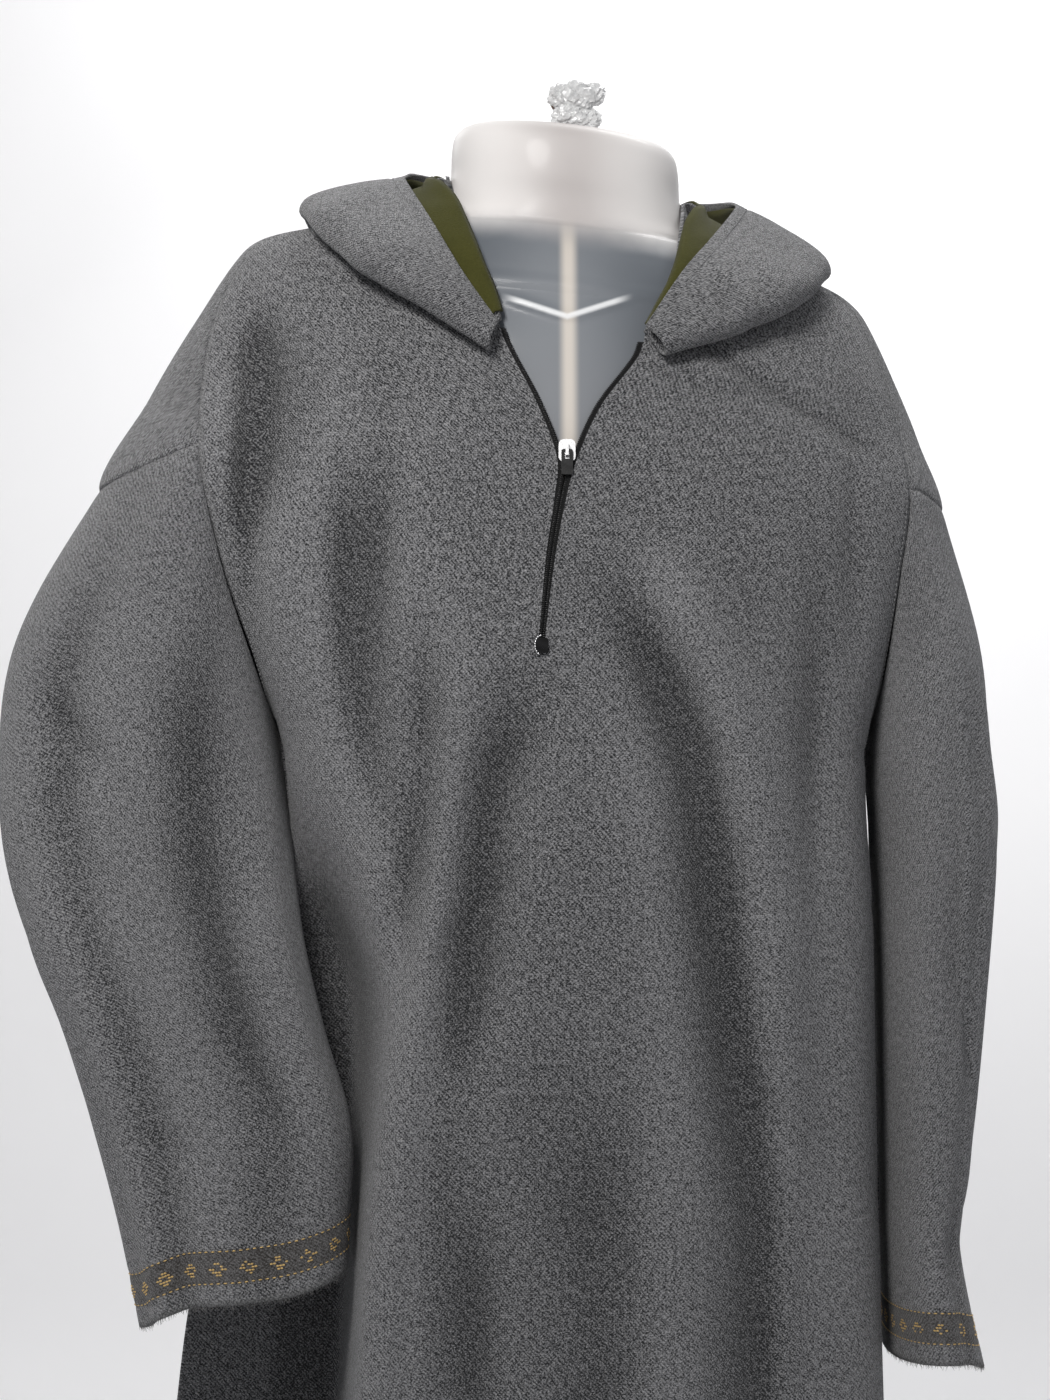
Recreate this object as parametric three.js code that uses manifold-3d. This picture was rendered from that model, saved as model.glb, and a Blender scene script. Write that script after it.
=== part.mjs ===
// Hooded wool pheran with a half zip, hanging on a limbless torso form.
// Millimetres, +Z up. The origin is the middle of the hook's eye, which carries everything.
// The cloth faces -Y, and "left" is the side at -X.
import * as THREE from 'three';
import { mergeVertices } from 'three/addons/utils/BufferGeometryUtils.js';
import Module from 'manifold-3d';

const wasm = await Module();
wasm.setup();

// ---- driving dimensions -------------------------------------------------------------------
const WOOL = 2; // wall of the wool
const FLEECE = 1.6; // wall of the hood lining
const TAPE = 1; // wall of the zip tapes
const SEAM = 0.3; // gap between two pieces at a seam
const ROLL = 0.107; // rise of the tilted shoulders, mm per mm of X

const HEM = -1185; // height of the bottom edge
const NECK = -66; // height of the neckline at the side and back of the neck
const ARMHOLE = -262; // height of the armhole at its top
const UNDERARM = -455; // height of the armhole's lowest point
const SLIT_TOP = -178; // height of the top of the zip
const SLIT_END = -262; // height where the slider closes the zip
const ZIP_END = ARMHOLE + ((UNDERARM - ARMHOLE) * 5) / 8; // height of the bottom stop

// Horizontal sections of the body, a superellipse each: reach to the left and right,
// depth to the front and back, and the power that makes it round or boxy.
const SECTIONS = [
  { h: -66, left: 84.2, right: 84.2, front: 66, back: 68, power: 2.0 },
  { h: -78, left: 89, right: 89, front: 66.5, back: 71, power: 2.0 },
  { h: -92, left: 108, right: 108, front: 69, back: 78, power: 1.95 },
  { h: -104, left: 152, right: 148, front: 74, back: 86, power: 1.8 },
  { h: -113, left: 190, right: 182, front: 80, back: 92, power: 1.7 },
  { h: -122, left: 214, right: 199, front: 85, back: 96, power: 1.75 },
  { h: -135, left: 228, right: 210, front: 90, back: 100, power: 1.9 },
  { h: -180, left: 258, right: 231, front: 104, back: 106, power: 2.1 },
  { h: -220, left: 290, right: 247, front: 113, back: 108, power: 2.15 },
  { h: -262, left: 325, right: 263, front: 120, back: 110, power: 2.2 },
  { h: -330, left: 272, right: 244, front: 127, back: 110, power: 2.3 },
  { h: -400, left: 220, right: 223, front: 131, back: 110, power: 2.4 },
  { h: -455, left: 196, right: 210, front: 132, back: 110, power: 2.5 },
  { h: -580, left: 200, right: 215, front: 131, back: 112, power: 2.5 },
  { h: -700, left: 234, right: 218, front: 130, back: 115, power: 2.4 },
  { h: -880, left: 268, right: 222, front: 132, back: 120, power: 2.4 },
  { h: -1185, left: 292, right: 232, front: 138, back: 128, power: 2.4 },
];

// Where the front panel ends at each side: shoulder seam, armhole, then side seam.
const FRONT_EDGE = [
  { h: -66, left: 83.8, right: 83.8 },
  { h: -78, left: 88, right: 88 },
  { h: -92, left: 106, right: 106 },
  { h: -104, left: 148, right: 144 },
  { h: -113, left: 184, right: 176 },
  { h: -122, left: 205, right: 191 },
  { h: -135, left: 219, right: 202 },
  { h: -180, left: 240, right: 219 },
  { h: -262, left: 246, right: 232 },
  { h: -330, left: 233, right: 226 },
  { h: -400, left: 211, right: 218 },
  { h: -455, left: 196, right: 210 },
];

// The neckline and the slit below it: the opening's reach at each height, to each side.
// The closed zip wanders to the left, so its right edge crosses the middle.
const NECKLINE = [
  { h: -66, left: 82.5, right: 82.5 },
  { h: -78, left: 79, right: 81 },
  { h: -92, left: 74, right: 79 },
  { h: -118, left: 65, right: 74.5 },
  { h: -140, left: 56, right: 67.5 },
  { h: -159, left: 49, right: 58 },
  { h: -171, left: 45.5, right: 52 },
  { h: -178, left: 44.5, right: 50.5 },
  { h: -190, left: 40, right: 46 },
  { h: -225, left: 21, right: 22 },
  { h: -262, left: 7, right: 6 },
  { h: -286, left: 8.4, right: -0.6 },
  { h: -325, left: 14, right: -8 },
  { h: ZIP_END + 4, left: 18.9, right: -14.9 },
];
const SEAM_LINE = 17; // where the middle of the front lies below the zip, to the left

// Long soft folds of the front: three places down the crease, half width, depth into the body
// (a ridge is negative), and whether it runs on to the hem.
const FRONT_FOLDS = [
  { x1: -204, h1: -150, x2: -198, h2: -250, x3: -205, h3: -340, wide: 20, deep: 13, hem: 0 },
  { x1: -143, h1: -230, x2: -137, h2: -400, x3: -119, h3: -600, wide: 22, deep: 12, hem: 0 },
  { x1: -96, h1: -320, x2: -92, h2: -480, x3: -132, h3: -700, wide: 18, deep: 15, hem: 0 },
  { x1: -18, h1: -370, x2: -50, h2: -490, x3: -80, h3: -700, wide: 24, deep: 14, hem: 0 },
  { x1: 14, h1: -300, x2: 84, h2: -455, x3: 126, h3: -760, wide: 26, deep: 17, hem: 1 },
  { x1: -86, h1: -300, x2: -84, h2: -480, x3: -118, h3: -800, wide: 17, deep: -9, hem: 1 },
  { x1: 50, h1: -290, x2: 100, h2: -420, x3: 134, h3: -560, wide: 22, deep: -8, hem: 0 },
  { x1: 176, h1: -250, x2: 168, h2: -480, x3: 176, h3: -900, wide: 20, deep: 7, hem: 1 },
  { x1: 10, h1: -620, x2: 20, h2: -860, x3: 30, h3: -1100, wide: 30, deep: 10, hem: 1 },
  { x1: -60, h1: -700, x2: -62, h2: -900, x3: -64, h3: -1100, wide: 22, deep: 9, hem: 1 },
];

const BACK_FOLDS = [
  { x1: -150, h1: -200, x2: -130, h2: -420, x3: -140, h3: -760, wide: 26, deep: 14, hem: 1 },
  { x1: -60, h1: -380, x2: -66, h2: -620, x3: -80, h3: -980, wide: 26, deep: 13, hem: 1 },
  { x1: 20, h1: -330, x2: 10, h2: -560, x3: 6, h3: -900, wide: 30, deep: 12, hem: 1 },
  { x1: 96, h1: -240, x2: 88, h2: -480, x3: 96, h3: -820, wide: 24, deep: 14, hem: 1 },
  { x1: 168, h1: -300, x2: 160, h2: -600, x3: 170, h3: -1000, wide: 22, deep: 10, hem: 1 },
  { x1: -205, h1: -560, x2: -215, h2: -800, x3: -225, h3: -1000, wide: 24, deep: 10, hem: 1 },
];

// The step in the front at the left, where the skirt drops back behind the sleeve.
const STEP = [
  { h: -440, x: -170, wide: 70 },
  { h: -540, x: -152, wide: 60 },
  { h: -630, x: -134, wide: 40 },
  { h: -770, x: -142, wide: 28 },
  { h: -885, x: -148, wide: 26 },
  { h: -1185, x: -160, wide: 30 },
];
const STEP_START = -440;
const STEP_FULL = -610;

// Sections of the sleeves: outer and inner reach, middle and half depth along Y.
const SLEEVE_LEFT = [
  { h: -262, out: -325, inn: -215, mid: 0, deep: 62, power: 2.0 },
  { h: -310, out: -368, inn: -210, mid: -2, deep: 64, power: 2.0 },
  { h: -360, out: -387, inn: -205, mid: -5, deep: 64, power: 2.0 },
  { h: -455, out: -392, inn: -201, mid: -18, deep: 62, power: 2.0 },
  { h: -520, out: -385, inn: -198, mid: -38, deep: 58, power: 2.0 },
  { h: -580, out: -365, inn: -184, mid: -60, deep: 52, power: 2.0 },
  { h: -640, out: -339, inn: -163, mid: -73, deep: 49, power: 2.0 },
  { h: -706, out: -317, inn: -144, mid: -80, deep: 47, power: 2.1 },
  { h: -770, out: -300, inn: -145, mid: -82, deep: 46, power: 2.1 },
  { h: -850, out: -284, inn: -149, mid: -82, deep: 44, power: 2.1 },
];
const SLEEVE_RIGHT = [
  { h: -262, out: 263, inn: 205, mid: 2, deep: 66, power: 2.0 },
  { h: -360, out: 290, inn: 216, mid: 4, deep: 76, power: 2.0 },
  { h: -455, out: 300, inn: 214, mid: 8, deep: 84, power: 2.1 },
  { h: -508, out: 305, inn: 215.5, mid: 10, deep: 88, power: 2.1 },
  { h: -640, out: 294, inn: 218.5, mid: 12, deep: 90, power: 2.2 },
  { h: -760, out: 280, inn: 221, mid: 14, deep: 92, power: 2.2 },
  { h: -794, out: 275, inn: 222, mid: 14, deep: 92, power: 2.2 },
  { h: -900, out: 300, inn: 226, mid: 16, deep: 90, power: 2.2 },
];
// Folds along the sleeves: angle round the sleeve (0 outside, 90 front), heights, depth.
const SLEEVE_FOLDS = {
  left: [
    { at1: 58, at2: 62, h1: -230, h3: -720, wide: 15, deep: 12 },
    { at1: 118, at2: 104, h1: -330, h3: -700, wide: 14, deep: 7 },
    { at1: 30, at2: 24, h1: -560, h3: -900, wide: 14, deep: 6 },
    { at1: 250, at2: 262, h1: -330, h3: -820, wide: 18, deep: 9 },
    { at1: 318, at2: 300, h1: -330, h3: -760, wide: 15, deep: 7 },
  ],
  right: [
    { at1: 62, at2: 66, h1: -330, h3: -860, wide: 12, deep: 6 },
    { at1: 24, at2: 20, h1: -300, h3: -700, wide: 13, deep: 6 },
    { at1: 330, at2: 322, h1: -360, h3: -900, wide: 14, deep: 8 },
    { at1: 280, at2: 276, h1: -420, h3: -900, wide: 13, deep: 7 },
  ],
};
// Cuff height round each sleeve: outside, front, inside, back.
const CUFF = {
  left: { outside: -838, front: -815, inside: -800, back: -822 },
  right: { outside: -880, front: -867, inside: -874, back: -882 },
};

// The hood lies back in two halves. Each row is a place along the neck seam, from the end at the
// zip (0) round to the middle of the back (6): the seam's height in front or X behind, the place
// on the body that the roll rests over, how far the roll stands off, and the face edge.
const HOOD = {
  left: [
    { at: 0, seamH: -175, seamX: 0, overX: 50, overH: -193, side: -1, off: 7.5, ex: -45, ey: -113, ez: -172 },
    { at: 1, seamH: -156, seamX: 0, overX: 86, overH: -172, side: -1, off: 11, ex: -67, ey: -111, ez: -141 },
    { at: 2, seamH: -128, seamX: 0, overX: 130, overH: -150, side: -1, off: 14, ex: -88, ey: -90, ez: -104 },
    { at: 3, seamH: -92, seamX: 0, overX: 170, overH: -119, side: -1, off: 9, ex: -109, ey: -34, ez: -64 },
    { at: 3.4, seamH: -66, seamX: 83, overX: 174, overH: -109.5, side: 1, off: 8, ex: -112, ey: 10, ez: -51 },
    { at: 4, seamH: -66, seamX: 68, overX: 150, overH: -150, side: 1, off: 12, ex: -106, ey: 48, ez: -42 },
    { at: 5, seamH: -66, seamX: 40, overX: 100, overH: -270, side: 1, off: 17, ex: -68, ey: 106, ez: -44 },
    { at: 6, seamH: -66, seamX: 0, overX: 0, overH: -330, side: 1, off: 16, ex: 0, ey: 138, ez: -92 },
  ],
  right: [
    { at: 0, seamH: -173, seamX: 0, overX: 60, overH: -186, side: -1, off: 7.5, ex: 51, ey: -113, ez: -174 },
    { at: 1, seamH: -156, seamX: 0, overX: 100, overH: -170, side: -1, off: 11, ex: 77, ey: -99, ez: -135 },
    { at: 2, seamH: -128, seamX: 0, overX: 132, overH: -150, side: -1, off: 14, ex: 96, ey: -76, ez: -111 },
    { at: 3, seamH: -92, seamX: 0, overX: 168, overH: -120, side: -1, off: 9, ex: 118, ey: -16, ez: -78 },
    { at: 3.4, seamH: -66, seamX: 83, overX: 168, overH: -110.5, side: 1, off: 8, ex: 119, ey: 10, ez: -70 },
    { at: 4, seamH: -66, seamX: 68, overX: 146, overH: -156, side: 1, off: 12, ex: 110, ey: 48, ez: -63 },
    { at: 5, seamH: -66, seamX: 40, overX: 100, overH: -272, side: 1, off: 17, ex: 68, ey: 106, ez: -58 },
    { at: 6, seamH: -66, seamX: 0, overX: 0, overH: -330, side: 1, off: 16, ex: 0, ey: 138, ez: -92 },
  ],
};
const HOOD_SEAT = 1; // the hood's neck edge lies this far off the body
const HOOD_LIFT = 3.6; // and the rest of it at least this far
const RIDGE_LIFT = 7.6; // more where it bends over the shoulder
const HOOD_STEPS = 16;
// Where the hood's points lie from the seam to the face edge, as shares of the way.
const HOOD_PROFILE = [0, 0.03, 0.07, 0.12, 0.19, 0.28, 0.37, 0.46, 0.56, 0.7, 0.85, 1];

// The torso form inside, as sections like the body's.
const FORM_DROP = 2.0; // it lies this much lower than the cloth that rests on it
const FORM_INSET = 2.4; // and this much further in
const FORM_TRUNK = [
  { h: -505, left: 142, right: 150, front: 90, back: 84, power: 2.2 },
  { h: -430, left: 138, right: 142, front: 94, back: 86, power: 2.2 },
  { h: -340, left: 160, right: 160, front: 112, back: 98, power: 2.2 },
  { h: -250, left: 176, right: 172, front: 112, back: 104, power: 2.2 },
  { h: -185, left: 190, right: 182, front: 100, back: 101, power: 2.1 },
  { h: -150, left: 194, right: 182, front: 91, back: 98, power: 1.95 },
];
const FORM_NECK = [
  { h: -95, reach: 92, deep: 61 },
  { h: -88, reach: 86, deep: 61 },
  { h: -78, reach: 83, deep: 61 },
  { h: -64, reach: 80, deep: 62 },
  { h: -45, reach: 79, deep: 61 },
  { h: -34, reach: 76, deep: 58 },
  { h: -28, reach: 68, deep: 51 },
  { h: -26, reach: 58, deep: 42 },
];

// Zip hardware.
const SLIDER = { wide: 11, tall: 15, thick: 2.6 };
const BRIDGE = { wide: 2, stand: 3.6, foot: 4.4, bar: 1.1 };
const PULL = { wide: 7.6, tall: 17, thick: 1.2, window: 3.2, windowTall: 5.4, bar: 1.2 };
const STOP = { wide: 8, tall: 10, thick: 1.8 };
const TAPE_SHOWS = 5; // width of tape and teeth beyond the cloth's edge
const TAPE_HIDDEN = 6; // and behind it

// Hook: an eye round the origin, on a shank that stands in the form's neck.
const EYE = { radius: 8, wire: 3 };
const SHANK = { radius: 3.2 };
const WRAP = { top: -12, high: 5, reach: 14.1, sides: 10 }; // film knotted round the shank

// ---- small helpers ------------------------------------------------------------------------
const lerp = (a, b, t) => a + (b - a) * t;
const clamp = (v, lo, hi) => Math.min(hi, Math.max(lo, v));
const ease = (t) => {
  const c = clamp(t, 0, 1);
  return c * c * (3 - 2 * c);
};
const rad = THREE.MathUtils.degToRad;

// A smooth function through one column of a table, keyed by another column.
function column(table, key, name) {
  const rows = [...table].sort((p, q) => p[key] - q[key]);
  const slope = (i) => {
    const a = rows[Math.max(i - 1, 0)];
    const b = rows[Math.min(i + 1, rows.length - 1)];
    return (b[name] - a[name]) / (b[key] - a[key]);
  };
  return (at) => {
    const k = clamp(at, rows[0][key], rows[rows.length - 1][key]);
    let i = 0;
    while (i < rows.length - 2 && k > rows[i + 1][key]) i += 1;
    const step = rows[i + 1][key] - rows[i][key];
    const t = (k - rows[i][key]) / step;
    const [p, q] = [rows[i][name], rows[i + 1][name]];
    const [m, n] = [slope(i) * step, slope(i + 1) * step];
    const [t2, t3] = [t * t, t * t * t];
    return p * (2 * t3 - 3 * t2 + 1) + m * (t3 - 2 * t2 + t) + q * (3 * t2 - 2 * t3) + n * (t3 - t2);
  };
}
const columns = (table, key, names) => Object.fromEntries(names.map((n) => [n, column(table, key, n)]));

const body = columns(SECTIONS, 'h', ['left', 'right', 'front', 'back', 'power']);
const frontEdge = columns(FRONT_EDGE, 'h', ['left', 'right']);
const neckline = columns(NECKLINE, 'h', ['left', 'right']);
const stepAt = columns(STEP, 'h', ['x', 'wide']);

// The whole hang is tilted at the shoulders and level from the waist down, and the armhole droops
// on its outer side.
function place(x, y, h) {
  const tilt = ROLL * ease((h + 450) / 320);
  const droop = 0.42 * Math.max(0, Math.abs(x) - 240) * ease((h + 480) / 190) * ease((-140 - h) / 120);
  return new THREE.Vector3(x, y, h - tilt * x - droop);
}

// ---- the body's form ----------------------------------------------------------------------
function foldDepth(folds, x, h) {
  let sum = 0;
  for (const f of folds) {
    const end = f.hem ? HEM - 400 : f.h3;
    if (h > f.h1 || h < end) continue;
    const t = (h - f.h1) / (f.h3 - f.h1);
    const c = clamp(t, 0, 1);
    const middle = (f.h2 - f.h1) / (f.h3 - f.h1);
    const x12 = f.x1 + ((f.x2 - f.x1) * c) / middle;
    const x23 = f.x2 + ((f.x3 - f.x2) * (c - middle)) / (1 - middle);
    const centre = lerp(x12, x23, ease((c - middle + 0.25) / 0.5));
    const grow = ease(t / 0.35);
    const fade = f.hem ? 1 : ease((1 - t) / 0.35);
    sum += f.deep * grow * fade * Math.exp(-(((x - centre) / f.wide) ** 2));
  }
  return sum;
}

const reach = (x, h) => (x < 0 ? body.left(h) : body.right(h));

// Depth of the cloth at x and h: negative at the front, positive at the back.
function bodyY(x, h, side) {
  const n = body.power(h);
  const round = Math.max(0, 1 - (Math.abs(x) / reach(x, h)) ** n) ** (1 / n);
  const soft = Math.min(1, round * 1.6);
  if (side > 0) return body.back(h) * round - foldDepth(BACK_FOLDS, x, h) * soft;
  const y = -body.front(h) * round + foldDepth(FRONT_FOLDS, x, h) * soft;
  const beyond = ease((stepAt.x(h) - x) / stepAt.wide(h) + 0.5);
  const step = beyond * ease((STEP_START - h) / (STEP_START - STEP_FULL));
  return y * (1 - step);
}
const onBody = (x, h, side) => place(x, bodyY(x, h, side), h);

const frontReach = (h, hand) => (h < UNDERARM ? body[hand](h) : frontEdge[hand](h));
function slitReach(h, hand) {
  if (h <= ZIP_END + 0.01) return hand === 'left' ? SEAM_LINE : -SEAM_LINE;
  return neckline[hand](h);
}

// ---- sheets -------------------------------------------------------------------------------
// A sheet is a grid of points, some cells of which may be missing. Its wall is made by moving
// a copy of each point in against the normal. Pieces that meet at a seam share that edge's
// points, so they share its normal too, and each then draws back by half the seam's gap.
const keyOf = (p) => `${Math.round(p.x * 50)},${Math.round(p.y * 50)},${Math.round(p.z * 50)}`;
const bodyNormals = new Map();
const hoodNormals = new Map();

function sheet(rows, thick, { keep = () => true, flip = false, wrap = false, shared = bodyNormals } = {}) {
  const [nv, nu] = [rows.length, rows[0].length];
  const ids = new Map();
  const points = [];
  const index = rows.flat().map((p) => {
    const key = keyOf(p);
    if (!ids.has(key)) {
      ids.set(key, points.length);
      points.push(p.clone());
    }
    return ids.get(key);
  });
  const at = (v, u) => index[v * nu + (u % nu)];
  const tris = [];
  for (let v = 0; v < nv - 1; v += 1) {
    for (let u = 0; u < (wrap ? nu : nu - 1); u += 1) {
      if (!keep(v, u)) continue;
      const cell = [at(v, u), at(v + 1, u), at(v + 1, u + 1), at(v, u + 1)];
      if (flip) cell.reverse();
      const [a, b, c, d] = cell;
      const short = points[a].distanceToSquared(points[c]) <= points[b].distanceToSquared(points[d]);
      const pair = short ? [[a, b, c], [a, c, d]] : [[a, b, d], [b, c, d]];
      for (const t of pair) if (new Set(t).size === 3) tris.push(t);
    }
  }
  const face = new THREE.Vector3();
  for (const t of tris) {
    for (let i = 0; i < 3; i += 1) {
      const [p, q, r] = [points[t[i]], points[t[(i + 1) % 3]], points[t[(i + 2) % 3]]];
      const [e1, e2] = [q.clone().sub(p).normalize(), r.clone().sub(p).normalize()];
      face.crossVectors(e1, e2);
      const angle = Math.asin(clamp(face.length(), 0, 1));
      const key = keyOf(p);
      if (!shared.has(key)) shared.set(key, new THREE.Vector3());
      shared.get(key).addScaledVector(face.normalize(), angle);
    }
  }
  return { points, tris, normals: shared, thick };
}

// The closed wall of a sheet, once every sheet has added to the shared normals. `from` is how
// far in the wall's outer face lies, and `draw` how far its edges draw back.
function wall({ points, tris, normals, thick }, { from = 0, draw = SEAM / 2 } = {}) {
  const normal = points.map((p) => (normals.get(keyOf(p)) ?? new THREE.Vector3()).clone().normalize());
  const edges = new Map();
  for (const t of tris) {
    for (let i = 0; i < 3; i += 1) edges.set(`${t[i]},${t[(i + 1) % 3]}`, [t[i], t[(i + 1) % 3]]);
  }
  const rim = [...edges.values()].filter(([a, b]) => !edges.has(`${b},${a}`));
  const back = points.map(() => new THREE.Vector3());
  for (const [a, b] of rim) {
    const along = points[b].clone().sub(points[a]).normalize();
    for (const i of [a, b]) back[i].add(new THREE.Vector3().crossVectors(normal[i], along).normalize());
  }
  const drawn = points.map((p, i) => p.clone().addScaledVector(back[i].normalize(), draw));
  const outer = drawn.map((p, i) => p.clone().addScaledVector(normal[i], -from));
  const inner = drawn.map((p, i) => p.clone().addScaledVector(normal[i], -from - thick));
  const n = points.length;
  const faces = [...tris];
  for (const t of tris) faces.push([t[2] + n, t[1] + n, t[0] + n]);
  for (const [a, b] of rim) faces.push([b, a, a + n], [b, a + n, b + n]);
  const geometry = new THREE.BufferGeometry();
  geometry.setFromPoints([...outer, ...inner]);
  geometry.setIndex(faces.flat());
  return geometry;
}

// n equal steps between two values, and several such stretches end to end.
const spread = (n, from, to) => Array.from({ length: n + 1 }, (_, i) => lerp(from, to, i / n));
const heights = (...parts) => parts.flatMap(([n, from, to], i) => spread(n, from, to).slice(i ? 1 : 0));

// ---- front and back panels ----------------------------------------------------------------
// Both panels and the sleeves share these rows, so that their edges meet point for point.
const SHOULDER_ROWS = heights([7, NECK, -122], [3, -122, SLIT_TOP], [4, SLIT_TOP, ARMHOLE]);
const ARMHOLE_STEPS = 8;
const SIDE_ROWS = heights([ARMHOLE_STEPS, ARMHOLE, UNDERARM], [17, UNDERARM, HEM]);
const BODY_ROWS = [...SHOULDER_ROWS, ...SIDE_ROWS.slice(1)];
const ROUND = 12; // steps round a shoulder, from the back over the outline to the front seam

// X of a point on the way round a shoulder: t is 0 at the back, 0.5 at the outline, 1 at the seam.
function shoulderX(h, hand, t) {
  const backEnd = Math.min(frontEdge[hand](h), body[hand](h) * 0.92);
  const end = t < 0.5 ? backEnd : frontEdge[hand](h);
  return lerp(end, body[hand](h), Math.sin(t * Math.PI));
}

// The front: from the side in to the neckline, the slit or the middle, and out again.
function frontPanel() {
  const across = 12;
  const half = (hand, sign) => BODY_ROWS.map((h) => {
    const outer = frontReach(h, hand);
    const inner = slitReach(h, hand);
    return spread(across, 0, 1).map((t) => {
      const x = lerp(outer, inner, Math.sin((t * Math.PI) / 2));
      return onBody(sign * x, h, -1);
    });
  });
  const left = half('left', -1);
  const right = half('right', 1);
  const rows = left.map((row, v) => [...row, ...right[v].reverse()]);
  return sheet(rows, WOOL, { keep: (v, u) => u !== across });
}

// The back: across the back, and above the armhole round each shoulder to the front seam.
function backPanel() {
  const across = 16;
  const inside = (h, hand) => (h < ARMHOLE ? frontReach(h, hand) : shoulderX(h, hand, 0));
  const around = (h, hand, sign) => spread(ROUND, 0, 1).slice(1).map((t) => (
    onBody(sign * shoulderX(h, hand, t), h, t <= 0.5 ? 1 : -1)));
  const rows = BODY_ROWS.map((h) => {
    const middle = spread(across, -1, 1).map((s) => {
      const hand = s < 0 ? 'left' : 'right';
      const share = Math.sin((Math.abs(s) * Math.PI) / 2);
      return onBody(Math.sign(s) * inside(h, hand) * share, h, 1);
    });
    return [...around(h, 'left', -1).reverse(), ...middle, ...around(h, 'right', 1)];
  });
  const armhole = SHOULDER_ROWS.length - 1;
  const keep = (v, u) => v < armhole || (u >= ROUND && u < ROUND + across);
  return sheet(rows, WOOL, { keep, flip: true });
}

// ---- sleeves ------------------------------------------------------------------------------
const CORNER = 80; // angle round the sleeve at which the shoulder seam meets the armhole

function sleeve(hand, sign, table) {
  const ring = columns(table, 'h', ['out', 'inn', 'mid', 'deep', 'power']);
  const cuff = CUFF[hand];
  const down = 13;

  // A point of the plain sleeve: angle 0 is outside, 90 the front, 180 the inside.
  const plain = (deg, h) => {
    const n = ring.power(h);
    const [c, s] = [Math.cos(rad(deg)), Math.sin(rad(deg))];
    const round = (v) => Math.sign(v) * Math.abs(v) ** (2 / n);
    let pull = 0;
    for (const f of SLEEVE_FOLDS[hand]) {
      if (h > f.h1) continue;
      const t = (f.h1 - h) / (f.h1 - f.h3);
      const middle = lerp(f.at1, f.at2, clamp(t, 0, 1));
      const off = ((deg - middle + 540) % 360) - 180;
      pull += f.deep * ease(t / 0.3) * Math.exp(-((off / f.wide) ** 2));
    }
    const centre = (ring.out(h) + ring.inn(h)) / 2;
    const wide = Math.abs(ring.out(h) - ring.inn(h)) / 2 - pull * Math.abs(c);
    const deep = ring.deep(h) - pull * Math.abs(s);
    return [centre + sign * wide * round(c), ring.mid(h) - deep * round(s), h];
  };
  // The armhole's edge at the same angle, on the body's own surface.
  const edge = (deg) => {
    const side = deg <= 180 ? -1 : 1;
    const d = deg <= 180 ? deg : 360 - deg;
    if (d <= CORNER) {
      const x = shoulderX(ARMHOLE, hand, 0.5 - (side * d) / CORNER / 2);
      return [sign * x, bodyY(sign * x, ARMHOLE, side), ARMHOLE];
    }
    const h = lerp(ARMHOLE, UNDERARM, (d - CORNER) / (180 - CORNER));
    const x = frontEdge[hand](h);
    return [sign * x, bodyY(sign * x, h, side), h];
  };
  const cuffAt = (deg) => {
    const [c, s] = [Math.cos(rad(deg)), Math.sin(rad(deg))];
    const along = c > 0 ? cuff.outside : cuff.inside;
    const across = s > 0 ? cuff.front : cuff.back;
    return along * c * c + across * s * s;
  };
  const angles = heights([ROUND / 2, 0, CORNER], [ARMHOLE_STEPS, CORNER, 180],
    [ARMHOLE_STEPS, 180, 360 - CORNER], [ROUND / 2, 360 - CORNER, 360]).slice(0, -1);
  const rows = spread(down, 0, 1).map((t) => angles.map((deg) => {
    const start = edge(deg);
    const h = lerp(start[2], cuffAt(deg), t);
    const now = plain(deg, h);
    const first = plain(deg, start[2]);
    const left = 1 - ease(t / 0.3);
    return place(now[0] + (start[0] - first[0]) * left, now[1] + (start[1] - first[1]) * left, h);
  }));
  return sheet(rows, WOOL, { wrap: true, flip: sign > 0 });
}

// ---- hood ---------------------------------------------------------------------------------
const outward = (x, h, side) => {
  const step = 1.5;
  const across = onBody(x + step, h, side).sub(onBody(x - step, h, side));
  const up = onBody(x, h + step, side).sub(onBody(x, h - step, side));
  return across.cross(up).multiplyScalar(-side).normalize();
};

// Height in the body's own sections of a point in space.
function sectionHeight(p) {
  let h = p.z;
  for (let i = 0; i < 8; i += 1) h += p.z - place(p.x, 0, h).z;
  return h;
}

// How far a point lies outside the body's sections, roughly, in mm.
function outside(p) {
  const height = sectionHeight(p);
  const h = Math.min(height, NECK);
  const above = Math.max(0, height - NECK);
  const n = body.power(h);
  const deep = p.y < 0 ? body.front(h) : body.back(h);
  const r = ((Math.abs(p.x) / reach(p.x, h)) ** n + (Math.abs(p.y) / deep) ** n) ** (1 / n);
  const beside = (r - 1) * Math.hypot(p.x, p.y);
  return above > 0 ? Math.hypot(Math.max(0, beside), above) : beside;
}

// Move a point out until it clears the body by a given distance.
function clearOf(point, gap) {
  const p = point.clone();
  for (let i = 0; i < 12; i += 1) {
    const d = outside(p);
    if (d >= gap) break;
    const slope = new THREE.Vector3();
    for (const axis of ['x', 'y', 'z']) {
      const q = p.clone();
      q[axis] += 0.5;
      slope[axis] = (outside(q) - d) / 0.5;
    }
    p.addScaledVector(slope, Math.min(4, gap - d) / slope.lengthSq());
  }
  return p;
}

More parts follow.
